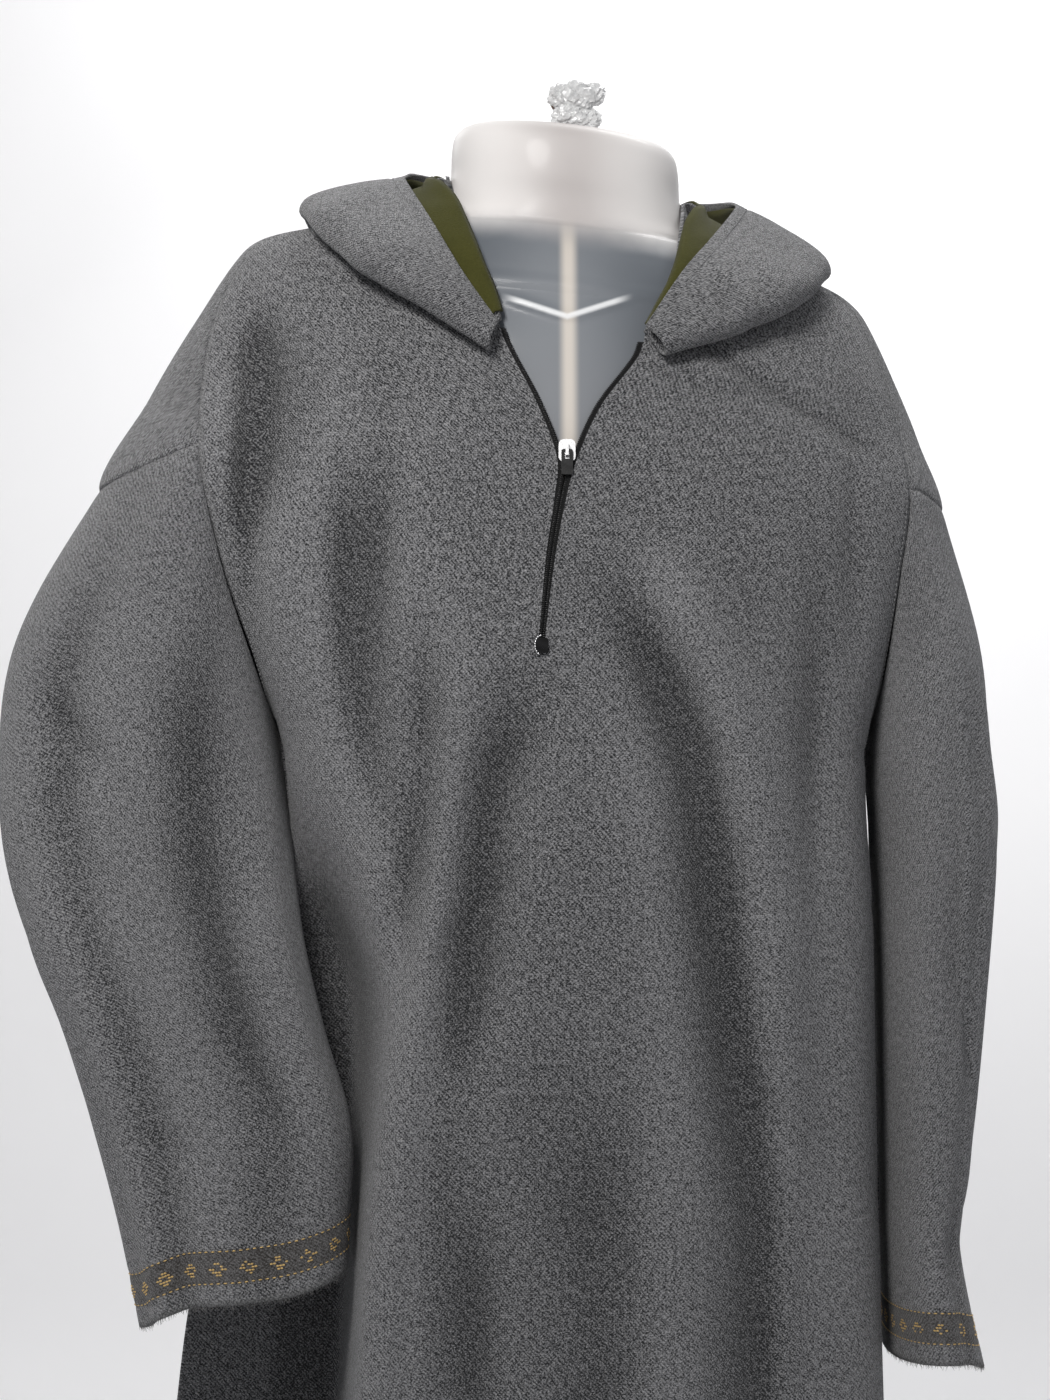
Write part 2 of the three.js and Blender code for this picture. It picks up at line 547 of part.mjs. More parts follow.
// One half of the hood as rows of points: from the neck seam out to the roll and back to the
// face edge, for each place along the neck.
function hoodRows(hand, sign) {
  const lifted = (x, h, side, by) => onBody(x, h, side).addScaledVector(outward(x, h, side), by);
  const keyPoints = HOOD[hand].map((row) => {
    const { side, off, overX, overH } = row;
    const seamX = side > 0 ? row.seamX : neckline[hand](row.seamH);
    const under = lifted(sign * overX, overH, side, HOOD_LIFT);
    const seam = lifted(sign * seamX, row.seamH, side, HOOD_SEAT);
    const low = lifted(sign * lerp(seamX, overX, 0.5), lerp(row.seamH, overH, 0.5), side, HOOD_LIFT);
    const out = outward(sign * overX, overH, side);
    const away = under.clone().sub(low).normalize();
    const tip = under.clone().addScaledVector(out, off).addScaledVector(away, off * 0.8);
    const over = under.clone().addScaledVector(out, off * 2);
    const edge = new THREE.Vector3(row.ex, row.ey, row.ez);
    const high = over.clone().lerp(edge, 0.55).addScaledVector(out, off * 0.35);
    return [seam, low, under, tip, over, high, edge];
  });
  const along = keyPoints[0].map((_, k) => new THREE.CatmullRomCurve3(keyPoints.map((r) => r[k])));
  return spread(HOOD_STEPS, 0, 1).map((t) => {
    const line = new THREE.CatmullRomCurve3(along.map((c) => c.getPoint(t)), false, 'centripetal');
    const ridge = RIDGE_LIFT * Math.exp(-(((t - 0.56) / 0.17) ** 2));
    return HOOD_PROFILE.map((u) => {
      const point = line.getPointAt(u);
      return u > 0.5 ? point : clearOf(point, ridge + (u === 0 ? HOOD_SEAT : HOOD_LIFT));
    });
  });
}
function hoodHalf(hand, sign, thick, first = 0, last = HOOD_PROFILE.length) {
  const rows = hoodRows(hand, sign).map((r) => r.slice(first, last));
  return sheet(rows, thick, { flip: sign < 0, shared: hoodNormals });
}

// ---- zip ----------------------------------------------------------------------------------
// A tape runs down each side of the slit, from just under the cloth's edge to the teeth.
function tape(hand, sign) {
  const rows = BODY_ROWS.filter((h) => h <= SLIT_TOP && h >= ZIP_END - 0.01).map((h) => {
    const edge = slitReach(h, hand);
    const middle = (slitReach(h, 'right') - slitReach(h, 'left')) / 2;
    const inner = Math.max(edge - TAPE_SHOWS, sign * middle + 0.3);
    return spread(2, 0, 1).map((t) => onBody(sign * lerp(edge + TAPE_HIDDEN, inner, t), h, -1));
  });
  return sheet(rows, TAPE, { flip: sign > 0, shared: new Map() });
}

// A flat plate standing in XZ, its back face on y = 0 and the rest in front of it.
function plate(wide, tall, thick, corner, hole) {
  const shape = new THREE.Shape();
  const [w, t] = [wide / 2 - corner, tall / 2 - corner];
  shape.absarc(w, t, corner, 0, Math.PI / 2);
  shape.absarc(-w, t, corner, Math.PI / 2, Math.PI);
  shape.absarc(-w, -t, corner, Math.PI, Math.PI * 1.5);
  shape.absarc(w, -t, corner, Math.PI * 1.5, Math.PI * 2);
  if (hole) shape.holes.push(hole);
  const solid = new THREE.ExtrudeGeometry(shape, { depth: thick, bevelEnabled: false, curveSegments: 4 });
  return solid.rotateX(Math.PI / 2);
}

function windowIn(wide, high, low) {
  const path = new THREE.Path();
  path.moveTo(-wide / 2, low);
  path.lineTo(-wide / 2, high);
  path.lineTo(wide / 2, high);
  path.lineTo(wide / 2, low);
  path.closePath();
  return path;
}

function asManifold(geometry) {
  const bare = geometry.clone();
  for (const name of Object.keys(bare.attributes)) if (name !== 'position') bare.deleteAttribute(name);
  const merged = mergeVertices(bare, 1e-4);
  return new wasm.Manifold(new wasm.Mesh({
    numProp: 3,
    vertProperties: new Float32Array(merged.attributes.position.array),
    triVerts: new Uint32Array(merged.index.array),
  }));
}
function asGeometry(solid) {
  const mesh = solid.getMesh();
  const geometry = new THREE.BufferGeometry();
  geometry.setAttribute('position', new THREE.BufferAttribute(mesh.vertProperties, 3));
  geometry.setIndex(new THREE.BufferAttribute(mesh.triVerts, 1));
  return geometry;
}
const join = (...parts) => asGeometry(parts.map(asManifold).reduce((a, b) => a.add(b)));

// The slider's plate with its bridge, an arch that the pull's bar turns under.
function sliderSolid() {
  const arch = new THREE.Shape();
  arch.moveTo(-BRIDGE.foot, -0.5);
  arch.lineTo(BRIDGE.foot, -0.5);
  arch.lineTo(BRIDGE.foot - 0.6, BRIDGE.stand);
  arch.lineTo(-BRIDGE.foot + 0.6, BRIDGE.stand);
  arch.closePath();
  arch.holes.push(windowIn((BRIDGE.foot - 1.5) * 2, BRIDGE.stand - BRIDGE.bar, 0));
  const bridge = new THREE.ExtrudeGeometry(arch, { depth: BRIDGE.wide, bevelEnabled: false });
  bridge.translate(0, SLIDER.thick, -BRIDGE.wide / 2);
  const axes = [[0, 0, 1], [0, -1, 0], [1, 0, 0]].map((a) => new THREE.Vector3(...a));
  bridge.applyMatrix4(new THREE.Matrix4().makeBasis(...axes));
  return join(plate(SLIDER.wide, SLIDER.tall, SLIDER.thick, 3.5), bridge);
}
const PULL_STAND = SLIDER.thick + (BRIDGE.stand - BRIDGE.bar) / 2; // hinge axis, off the slider's back

// The pull tab, about its hinge axis: a bar at the top, a window for the bridge, then the tab.
function pullSolid() {
  const drop = PULL.tall / 2 - PULL.bar / 2;
  const hole = windowIn(PULL.window, drop - PULL.bar / 2, drop - PULL.bar / 2 - PULL.windowTall);
  return plate(PULL.wide, PULL.tall, PULL.thick, 1.5, hole).translate(0, PULL.thick / 2, -drop);
}

// ---- form and hook ------------------------------------------------------------------------
// A closed solid through rings of points, lowest first, with a flat end at each.
function lofted(rings) {
  const n = rings[0].length;
  const faces = [];
  for (let r = 0; r < rings.length - 1; r += 1) {
    for (let i = 0; i < n; i += 1) {
      const [a, b] = [r * n + i, r * n + ((i + 1) % n)];
      faces.push(a, b, b + n, a, b + n, a + n);
    }
  }
  const last = (rings.length - 1) * n;
  for (let i = 1; i < n - 1; i += 1) faces.push(0, i + 1, i, last, last + i, last + i + 1);
  const geometry = new THREE.BufferGeometry();
  geometry.setFromPoints(rings.flat());
  geometry.setIndex(faces);
  return geometry;
}

const RING = 24;
function ringAt(h, left, right, front, back, power) {
  return spread(RING, 0, 360).slice(0, RING).map((deg) => {
    const [c, s] = [Math.cos(rad(deg)), Math.sin(rad(deg))];
    const round = (v) => Math.sign(v) * Math.abs(v) ** (2 / power);
    const [x, y] = [round(c) * (c < 0 ? left : right), round(s) * (s < 0 ? front : back)];
    return place(x, y, h);
  });
}

function formSolid() {
  const trunk = columns(FORM_TRUNK, 'h', ['left', 'right', 'front', 'back', 'power']);
  const trunkTop = FORM_TRUNK[FORM_TRUNK.length - 1].h;
  const rings = heights([6, FORM_TRUNK[0].h, -250], [3, -250, trunkTop]).map((h) => (
    ringAt(h, trunk.left(h), trunk.right(h), trunk.front(h), trunk.back(h), trunk.power(h))));
  for (const h of [-138, -128, -121, -115, -109, -104, -100]) {
    const up = h + FORM_DROP;
    const [l, r] = [Math.min(body.left(up) - FORM_INSET, 192), Math.min(body.right(up) - FORM_INSET, 180)];
    rings.push(ringAt(h, l, r, body.front(up) - FORM_INSET, body.back(up) - FORM_INSET, body.power(up)));
  }
  for (const { h, reach: wide, deep } of FORM_NECK) rings.push(ringAt(h, wide, wide, deep, deep, 2.1));
  return lofted(rings);
}

function hookSolid() {
  const eye = new THREE.TorusGeometry(EYE.radius, EYE.wire, 8, 20).rotateX(Math.PI / 2);
  const foot = FORM_NECK[FORM_NECK.length - 1].h + ROLL * SHANK.radius + SEAM;
  const length = -foot - EYE.radius;
  const shank = new THREE.CylinderGeometry(SHANK.radius, SHANK.radius, length, 12);
  shank.rotateX(Math.PI / 2);
  shank.translate(0, 0, foot + length / 2);
  return join(eye, shank);
}

// The film round the shank, a fat ring.
function wrapSolid() {
  const inner = SHANK.radius + SEAM;
  const half = (WRAP.reach - inner) / 2;
  const profile = spread(WRAP.sides, 0, Math.PI * 2).slice(0, WRAP.sides).map((a) => {
    const out = inner + half + Math.cos(a) * (half + SEAM);
    return new THREE.Vector2(Math.max(inner, out), WRAP.top - WRAP.high * (1 - Math.sin(a)));
  });
  profile.push(profile[0].clone());
  return new THREE.LatheGeometry(profile, 18).rotateX(Math.PI / 2);
}

// ---- assembly -----------------------------------------------------------------------------
const GREY = '#5f5d5c';
const OLIVE = '#5a5f2c';
const BLACK = '#1b1b1d';
const METAL = '#b9bcc0';
const group = new THREE.Group();
function add(name, geometry, colour, roughness, metalness = 0) {
  const material = new THREE.MeshStandardMaterial({ color: colour, roughness, metalness });
  const mesh = new THREE.Mesh(geometry, material);
  mesh.name = name;
  group.add(mesh);
  return mesh;
}

const cloth = {
  front: frontPanel(),
  back: backPanel(),
  sleeve_left: sleeve('left', -1, SLEEVE_LEFT),
  sleeve_right: sleeve('right', 1, SLEEVE_RIGHT),
};
for (const [name, piece] of Object.entries(cloth)) {
  add(name, wall(piece, { draw: name.startsWith('sleeve') ? SEAM * 1.5 : SEAM / 2 }), GREY, 0.95);
}

const COLLAR = [0, 5]; // the lining shows on these rows of the profile, by the neck
const BRIM = [9, 12]; // and on these, up to the face edge
const LINED = { from: WOOL + SEAM * 2, draw: SEAM * 3 };
const hood = { left: hoodHalf('left', -1, WOOL), right: hoodHalf('right', 1, WOOL) };
add('hood_left', wall(hood.left), GREY, 0.95);
add('hood_right', wall(hood.right), GREY, 0.95);
for (const [hand, sign] of [['left', -1], ['right', 1]]) {
  add(`hood_lining_${hand}`, wall(hoodHalf(hand, sign, FLEECE, ...BRIM), LINED), OLIVE, 1);
  add(`collar_lining_${hand}`, wall(hoodHalf(hand, sign, FLEECE, ...COLLAR), LINED), OLIVE, 1);
}

add('form', formSolid(), '#c9c5c6', 0.4);
add('hook', hookSolid(), '#6b4a36', 0.6, 0.6);
add('hook_wrap', wrapSolid(), '#dfe3e6', 0.15);

add('zip_tape_left', wall(tape('left', -1), { from: WOOL + SEAM }), BLACK, 0.8);
add('zip_tape_right', wall(tape('right', 1), { from: WOOL + SEAM }), BLACK, 0.8);

// Hardware on the front's surface: a piece in its own XZ plane, set at a place on the body and
// sunk in by `sink`, leaning with the cloth.
function addHardware(name, geometry, x, h, sink, colour, roughness, metalness) {
  const slope = onBody(x, h + 8, -1).sub(onBody(x, h - 8, -1));
  const lean = Math.atan2(-slope.y, slope.z);
  const mesh = add(name, geometry, colour, roughness, metalness);
  mesh.rotation.x = lean;
  const inward = new THREE.Vector3(0, Math.cos(lean), Math.sin(lean));
  mesh.position.copy(onBody(x, h, -1)).addScaledVector(inward, sink);
  return mesh;
}

const ZIP_X = -0.5; // middle of the slider
const SLIDER_AT = SLIT_END + 5; // a little above the place where the tapes meet
addHardware('slider', sliderSolid(), ZIP_X, SLIDER_AT, WOOL, METAL, 0.3, 1);
const pull = addHardware('pull', pullSolid(), ZIP_X, SLIDER_AT, WOOL, BLACK, 0.5, 0);
pull.translateY(-PULL_STAND);
const stop = plate(STOP.wide, STOP.tall, STOP.thick, 1.5);
addHardware('zip_stop', stop, -SEAM_LINE, ZIP_END - 2, -SEAM, METAL, 0.3, 1);

export default group;
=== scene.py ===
"""Hooded wool pheran on its hanging torso form: the cloth, hood, zip, cuffs, form and hook."""

import math
import random

import bmesh
import bpy
import numpy as np
from bpy.props import FloatProperty, FloatVectorProperty, PointerProperty
from mathutils import Matrix, Vector


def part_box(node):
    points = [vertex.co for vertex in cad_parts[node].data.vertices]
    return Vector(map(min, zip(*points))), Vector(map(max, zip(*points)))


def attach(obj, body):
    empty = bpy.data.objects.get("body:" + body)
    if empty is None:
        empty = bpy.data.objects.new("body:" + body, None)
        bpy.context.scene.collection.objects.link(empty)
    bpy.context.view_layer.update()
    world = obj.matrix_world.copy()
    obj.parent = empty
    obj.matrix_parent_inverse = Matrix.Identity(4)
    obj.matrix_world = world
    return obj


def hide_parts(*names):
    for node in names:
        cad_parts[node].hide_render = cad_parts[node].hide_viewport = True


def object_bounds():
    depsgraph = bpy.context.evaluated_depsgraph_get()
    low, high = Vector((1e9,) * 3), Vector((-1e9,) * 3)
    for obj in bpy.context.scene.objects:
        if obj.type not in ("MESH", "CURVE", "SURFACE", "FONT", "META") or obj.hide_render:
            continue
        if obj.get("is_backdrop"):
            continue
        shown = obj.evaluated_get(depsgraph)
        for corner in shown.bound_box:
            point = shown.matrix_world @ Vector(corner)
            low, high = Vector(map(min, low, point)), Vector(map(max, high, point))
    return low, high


bl_info = {
    "name": "Hooded pheran",
    "version": (1, 0, 0),
    "blender": (4, 5, 0),
    "location": "3D View > Sidebar > Pheran",
    "description": "Builds a hooded wool pheran that hangs on a torso form",
    "category": "Add Mesh",
}

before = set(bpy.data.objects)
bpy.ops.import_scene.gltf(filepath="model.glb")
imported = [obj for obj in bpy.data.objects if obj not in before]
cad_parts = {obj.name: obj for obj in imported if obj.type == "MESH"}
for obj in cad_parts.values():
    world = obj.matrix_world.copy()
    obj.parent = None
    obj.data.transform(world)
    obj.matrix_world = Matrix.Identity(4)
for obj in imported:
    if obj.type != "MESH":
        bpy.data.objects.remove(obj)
CAD_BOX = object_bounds()
GARMENT = "garment"
MM = 0.001

# ---- sizes, in millimetres, in the frame's own axes ------------------------------------------
WOOL = 2.0  # wall of the wool
FLEECE = 1.6  # wall of the lining
TAPE = 1.0
SEAM = 0.3  # gap between two pieces at a seam
ROLL = 0.107  # rise of the tilted shoulders per millimetre of X
HEM = -1185.0
NECK = -66.0
ARMHOLE = -262.0
UNDERARM = -455.0
SLIT_TOP = -178.0
ZIP_END = ARMHOLE + (UNDERARM - ARMHOLE) * 5 / 8
SEAM_LINE = 17.0  # the middle of the front below the zip, to the left
STEP_START, STEP_FULL = -440.0, -610.0
CORNER = 80.0  # angle round the sleeve where the shoulder seam meets the armhole


def table(names, *rows):
    """Rows of numbers as a dictionary of columns."""
    return {name: np.array(col, float) for name, col in zip(names.split(), zip(*rows))}


# Horizontal sections of the body: reach to each side, depth front and back, roundness.
SECTIONS = table(
    "h left right front back power",
    (-66, 84.2, 84.2, 66, 68, 2.0),
    (-78, 89, 89, 66.5, 71, 2.0),
    (-92, 108, 108, 69, 78, 1.95),
    (-104, 152, 148, 74, 86, 1.8),
    (-113, 190, 182, 80, 92, 1.7),
    (-122, 214, 199, 85, 96, 1.75),
    (-135, 228, 210, 90, 100, 1.9),
    (-180, 258, 231, 104, 106, 2.1),
    (-220, 290, 247, 113, 108, 2.15),
    (-262, 325, 263, 120, 110, 2.2),
    (-330, 272, 244, 127, 110, 2.3),
    (-400, 220, 223, 131, 110, 2.4),
    (-455, 196, 210, 132, 110, 2.5),
    (-580, 200, 215, 131, 112, 2.5),
    (-700, 234, 218, 130, 115, 2.4),
    (-880, 268, 222, 132, 120, 2.4),
    (-1185, 292, 232, 138, 128, 2.4),
)
FRONT_EDGE = table(
    "h left right",
    (-66, 83.8, 83.8),
    (-78, 88, 88),
    (-92, 106, 106),
    (-104, 148, 144),
    (-113, 184, 176),
    (-122, 205, 191),
    (-135, 219, 202),
    (-180, 240, 219),
    (-262, 246, 232),
    (-330, 233, 226),
    (-400, 211, 218),
    (-455, 196, 210),
)
NECKLINE = table(
    "h left right",
    (-66, 82.5, 82.5),
    (-78, 79, 81),
    (-92, 74, 79),
    (-118, 65, 74.5),
    (-140, 56, 67.5),
    (-159, 49, 58),
    (-171, 45.5, 52),
    (-178, 44.5, 50.5),
    (-190, 40, 46),
    (-225, 21, 22),
    (-262, 7, 6),
    (-286, 8.4, -0.6),
    (-325, 14, -8),
    (ZIP_END + 4, 18.9, -14.9),
)
STEP = table(
    "h x wide",
    (-440, -170, 70),
    (-540, -152, 60),
    (-630, -134, 40),
    (-770, -142, 28),
    (-885, -148, 26),
    (-1185, -160, 30),
)
FOLD_GAIN = 1.42  # the cloth settles deeper into its folds than the solids
# Soft folds: three places down the crease, half width, depth in, and whether it meets the hem.
FRONT_FOLDS = (
    (-204, -150, -198, -250, -205, -340, 20, 13, 0),
    (-143, -230, -137, -400, -119, -600, 22, 12, 0),
    (-96, -320, -92, -480, -132, -700, 18, 15, 0),
    (-18, -370, -50, -490, -80, -700, 24, 14, 0),
    (14, -300, 84, -455, 126, -760, 26, 17, 1),
    (-86, -300, -84, -480, -118, -800, 17, -9, 1),
    (50, -290, 100, -420, 134, -560, 22, -8, 0),
    (176, -250, 168, -480, 176, -900, 20, 7, 1),
    (10, -620, 20, -860, 30, -1100, 30, 10, 1),
    (-60, -700, -62, -900, -64, -1100, 22, 9, 1),
)
BACK_FOLDS = (
    (-150, -200, -130, -420, -140, -760, 26, 14, 1),
    (-60, -380, -66, -620, -80, -980, 26, 13, 1),
    (20, -330, 10, -560, 6, -900, 30, 12, 1),
    (96, -240, 88, -480, 96, -820, 24, 14, 1),
    (168, -300, 160, -600, 170, -1000, 22, 10, 1),
    (-205, -560, -215, -800, -225, -1000, 24, 10, 1),
)
SLEEVES = {
    "left": table(
        "h out inn mid deep power",
        (-262, -325, -215, 0, 62, 2.0),
        (-310, -368, -210, -2, 64, 2.0),
        (-360, -387, -205, -5, 64, 2.0),
        (-455, -392, -192, -18, 62, 2.0),
        (-520, -385, -187, -38, 58, 2.0),
        (-580, -365, -178, -60, 52, 2.0),
        (-640, -339, -163, -73, 49, 2.0),
        (-706, -317, -144, -80, 47, 2.1),
        (-770, -300, -145, -82, 46, 2.1),
        (-850, -284, -149, -82, 44, 2.1),
    ),
    "right": table(
        "h out inn mid deep power",
        (-262, 263, 205, 2, 66, 2.0),
        (-360, 290, 216, 4, 76, 2.0),
        (-455, 300, 214, 8, 84, 2.1),
        (-508, 305, 215.5, 10, 88, 2.1),
        (-640, 294, 218.5, 12, 90, 2.2),
        (-760, 280, 221, 14, 92, 2.2),
        (-794, 275, 222, 14, 92, 2.2),
        (-900, 300, 226, 16, 90, 2.2),
    ),
}
# Folds along the sleeves: angle at each end (0 outside, 90 front), heights, width, depth.
SLEEVE_FOLDS = {
    "left": (
        (58, 62, -230, -720, 15, 12),
        (118, 104, -330, -700, 14, 7),
        (30, 24, -560, -900, 14, 6),
        (250, 262, -330, -820, 18, 9),
        (318, 300, -330, -760, 15, 7),
    ),
    "right": (
        (62, 66, -330, -860, 12, 6),
        (24, 20, -300, -700, 13, 6),
        (330, 322, -360, -900, 14, 8),
        (280, 276, -420, -900, 13, 7),
    ),
}
CUFF = {
    "left": {"outside": -838, "front": -815, "inside": -800, "back": -822},
    "right": {"outside": -880, "front": -867, "inside": -874, "back": -882},
}
# The hood by places round the neck: seam height, seam X, where the roll rests on the body, which
# side of the body, how far the roll stands off, and the face edge.
HOOD_ROWS = "seam_h seam_x over_x over_h side off ex ey ez"
HOOD = {
    "left": table(
        HOOD_ROWS,
        (-175, 0, 50, -193, -1, 7.5, -45, -113, -172),
        (-156, 0, 86, -172, -1, 11, -67, -111, -141),
        (-128, 0, 130, -150, -1, 14, -88, -90, -104),
        (-92, 0, 170, -119, -1, 9, -109, -34, -64),
        (-66, 83, 174, -109.5, 1, 8, -112, 10, -51),
        (-66, 68, 150, -150, 1, 12, -106, 48, -42),
        (-66, 40, 100, -270, 1, 17, -68, 106, -44),
        (-66, 0, 0, -330, 1, 16, 0, 138, -92),
    ),
    "right": table(
        HOOD_ROWS,
        (-173, 0, 60, -186, -1, 7.5, 51, -113, -174),
        (-156, 0, 100, -170, -1, 11, 77, -99, -135),
        (-128, 0, 132, -150, -1, 14, 96, -76, -111),
        (-92, 0, 168, -120, -1, 9, 118, -16, -78),
        (-66, 83, 168, -110.5, 1, 8, 119, 10, -70),
        (-66, 68, 146, -156, 1, 12, 110, 48, -63),
        (-66, 40, 100, -272, 1, 17, 68, 106, -58),
        (-66, 0, 0, -330, 1, 16, 0, 138, -92),
    ),
}
HOOD_SEAT, HOOD_LIFT, RIDGE_LIFT = 1.0, 3.6, 7.6
FORM_INSET = 2.4
FORM_DROP = 2.0
FORM_TRUNK = table(
    "h left right front back power",
    (-505, 142, 150, 90, 84, 2.2),
    (-430, 138, 142, 94, 86, 2.2),
    (-340, 160, 160, 112, 98, 2.2),
    (-250, 176, 172, 112, 104, 2.2),
    (-185, 190, 182, 100, 101, 2.1),
    (-150, 194, 182, 91, 98, 1.95),
)
FORM_NECK = table(
    "h reach deep",
    (-95, 92, 61),
    (-88, 86, 61),
    (-78, 83, 61),
    (-64, 80, 62),
    (-45, 79, 61),
    (-34, 76, 58),
    (-28, 68, 51),
    (-26, 58, 42),
)


# ---- curves and forms ------------------------------------------------------------------------
def ease(t):
    c = np.clip(t, 0, 1)
    return c * c * (3 - 2 * c)


def lerp(a, b, t):
    return a + (b - a) * t


def column(rows, name, key="h"):
    """A smooth function through one column of a table, keyed by another."""
    order = np.argsort(rows[key])
    k, v = rows[key][order], rows[name][order]
    slope = np.empty_like(v)
    slope[1:-1] = (v[2:] - v[:-2]) / (k[2:] - k[:-2])
    slope[0] = (v[1] - v[0]) / (k[1] - k[0])
    slope[-1] = (v[-1] - v[-2]) / (k[-1] - k[-2])

    def at(x):
        x = np.clip(np.asarray(x, float), k[0], k[-1])
        i = np.clip(np.searchsorted(k, x) - 1, 0, len(k) - 2)
        step = k[i + 1] - k[i]
        t = (x - k[i]) / step
        a, b = slope[i] * step, slope[i + 1] * step
        t2, t3 = t * t, t * t * t
        ends = v[i] * (2 * t3 - 3 * t2 + 1) + v[i + 1] * (3 * t2 - 2 * t3)
        return ends + a * (t3 - 2 * t2 + t) + b * (t3 - t2)

    return at


def columns(rows):
    return {name: column(rows, name) for name in rows if name != "h"}


body = columns(SECTIONS)
front_edge = columns(FRONT_EDGE)
neckline = columns(NECKLINE)
step_at = columns(STEP)
ARMHOLE_SEAM = 0.42  # how fast the armhole droops beyond this X
DROOP_FROM = 240


def place(x, y, h):
    """A point of the level garment, in its tilted hang."""
    x, y, h = np.broadcast_arrays(x, y, h)
    tilt = ROLL * ease((h + 450) / 320)
    reach = np.maximum(0, np.abs(x) - DROOP_FROM)
    droop = ARMHOLE_SEAM * reach * ease((h + 480) / 190) * ease((-140 - h) / 120)
    return np.stack([x, y, h - tilt * x - droop], -1)


def fold_depth(folds, x, h):
    total = np.zeros(np.broadcast(x, h).shape)
    for x1, h1, x2, h2, x3, h3, wide, deep, hem in folds:
        t = (h - h1) / (h3 - h1)
        c = np.clip(t, 0, 1)
        middle = (h2 - h1) / (h3 - h1)
        upper = x1 + (x2 - x1) * c / middle
        lower = x2 + (x3 - x2) * (c - middle) / (1 - middle)
        centre = lerp(upper, lower, ease((c - middle + 0.25) / 0.5))
        fade = 1 if hem else ease((1 - t) / 0.35)
        total = total + FOLD_GAIN * deep * ease(t / 0.35) * fade * np.exp(-(((x - centre) / wide) ** 2))
    return total


def reach(x, h):
    return np.where(x < 0, body["left"](h), body["right"](h))


def body_y(x, h, side):
    """Depth of the cloth: negative at the front, positive at the back."""
    x, h, side = np.broadcast_arrays(np.asarray(x, float), np.asarray(h, float), side)
    n = body["power"](h)
    ring = np.maximum(0, 1 - (np.abs(x) / reach(x, h)) ** n) ** (1 / n)
    soft = np.minimum(1, ring * 1.6)
    back = body["back"](h) * ring - fold_depth(BACK_FOLDS, x, h) * soft
    front = -body["front"](h) * ring + fold_depth(FRONT_FOLDS, x, h) * soft
    beyond = ease((step_at["x"](h) - x) / step_at["wide"](h) + 0.5)
    step = beyond * ease((STEP_START - h) / (STEP_START - STEP_FULL))
    return np.where(side > 0, back, front * (1 - step))


def on_body(x, h, side):
    return place(x, body_y(x, h, side), h)


def front_reach(h, hand):
    return np.where(h < UNDERARM, body[hand](h), front_edge[hand](h))


def slit_reach(h, hand):
    middle = SEAM_LINE if hand == "left" else -SEAM_LINE
    return np.where(h <= ZIP_END + 0.01, middle, neckline[hand](h))


def stretches(*parts):
    """Several runs of equal steps end to end: (steps, from, to)."""
    runs = [np.linspace(a, b, n + 1)[(1 if i else 0) :] for i, (n, a, b) in enumerate(parts)]
    return np.concatenate(runs)


def shoulder_x(h, hand, t):
    """X on the way round a shoulder: t is 0 at the back, 0.5 at the outline, 1 at the seam."""
    edge = front_edge[hand](h)
    back_end = np.minimum(edge, body[hand](h) * 0.92)
    return lerp(np.where(t < 0.5, back_end, edge), body[hand](h), np.sin(t * np.pi))


def rows_of(count):
    """Heights of the body's rows, from the neck to the hem; count scales how many."""
    n = lambda steps: int(round(steps * count))
    top = stretches((n(7), NECK, -122), (n(3), -122, SLIT_TOP), (n(4), SLIT_TOP, ARMHOLE))
    side = stretches((n(8), ARMHOLE, UNDERARM), (n(17), UNDERARM, HEM))
    return np.concatenate([top, side[1:]]), len(top) - 1


def front_grid(count, across):
    h, _ = rows_of(count)
    t = np.sin(np.linspace(0, 1, across + 1) * np.pi / 2)
    halves = []
    for hand, sign in (("left", -1), ("right", 1)):
        x = lerp(front_reach(h, hand)[:, None], slit_reach(h, hand)[:, None], t[None, :])
        halves.append(sign * x)
    x = np.concatenate([halves[0], halves[1][:, ::-1]], 1)
    keep = np.ones((len(h) - 1, x.shape[1] - 1), bool)
    keep[:, across] = False
    return x, h[:, None] + 0 * x, keep


def back_grid(count, across, around):
    h, armhole = rows_of(count)
    lr = {}
    for hand in ("left", "right"):
        lr[hand] = np.where(h < ARMHOLE, front_reach(h, hand), shoulder_x(h, hand, 0.0))
    s = np.linspace(-1, 1, across + 1)
    share = np.sin(np.abs(s) * np.pi / 2)
    middle = np.where(s[None, :] < 0, -lr["left"][:, None], lr["right"][:, None]) * share[None, :]
    t = np.linspace(0, 1, around + 1)[1:]
    left = -np.stack([shoulder_x(h, "left", v) for v in t], 1)
    right = np.stack([shoulder_x(h, "right", v) for v in t], 1)
    x = np.concatenate([left[:, ::-1], middle, right], 1)
    turn = np.where(t <= 0.5, 1, -1)
    side = np.concatenate([turn[::-1], np.ones(across + 1), turn])
    keep = np.ones((len(h) - 1, x.shape[1] - 1), bool)
    keep[armhole:, :around] = False
    keep[armhole:, around + across :] = False
    return x, h[:, None] + 0 * x, side[None, :] + 0 * x, keep


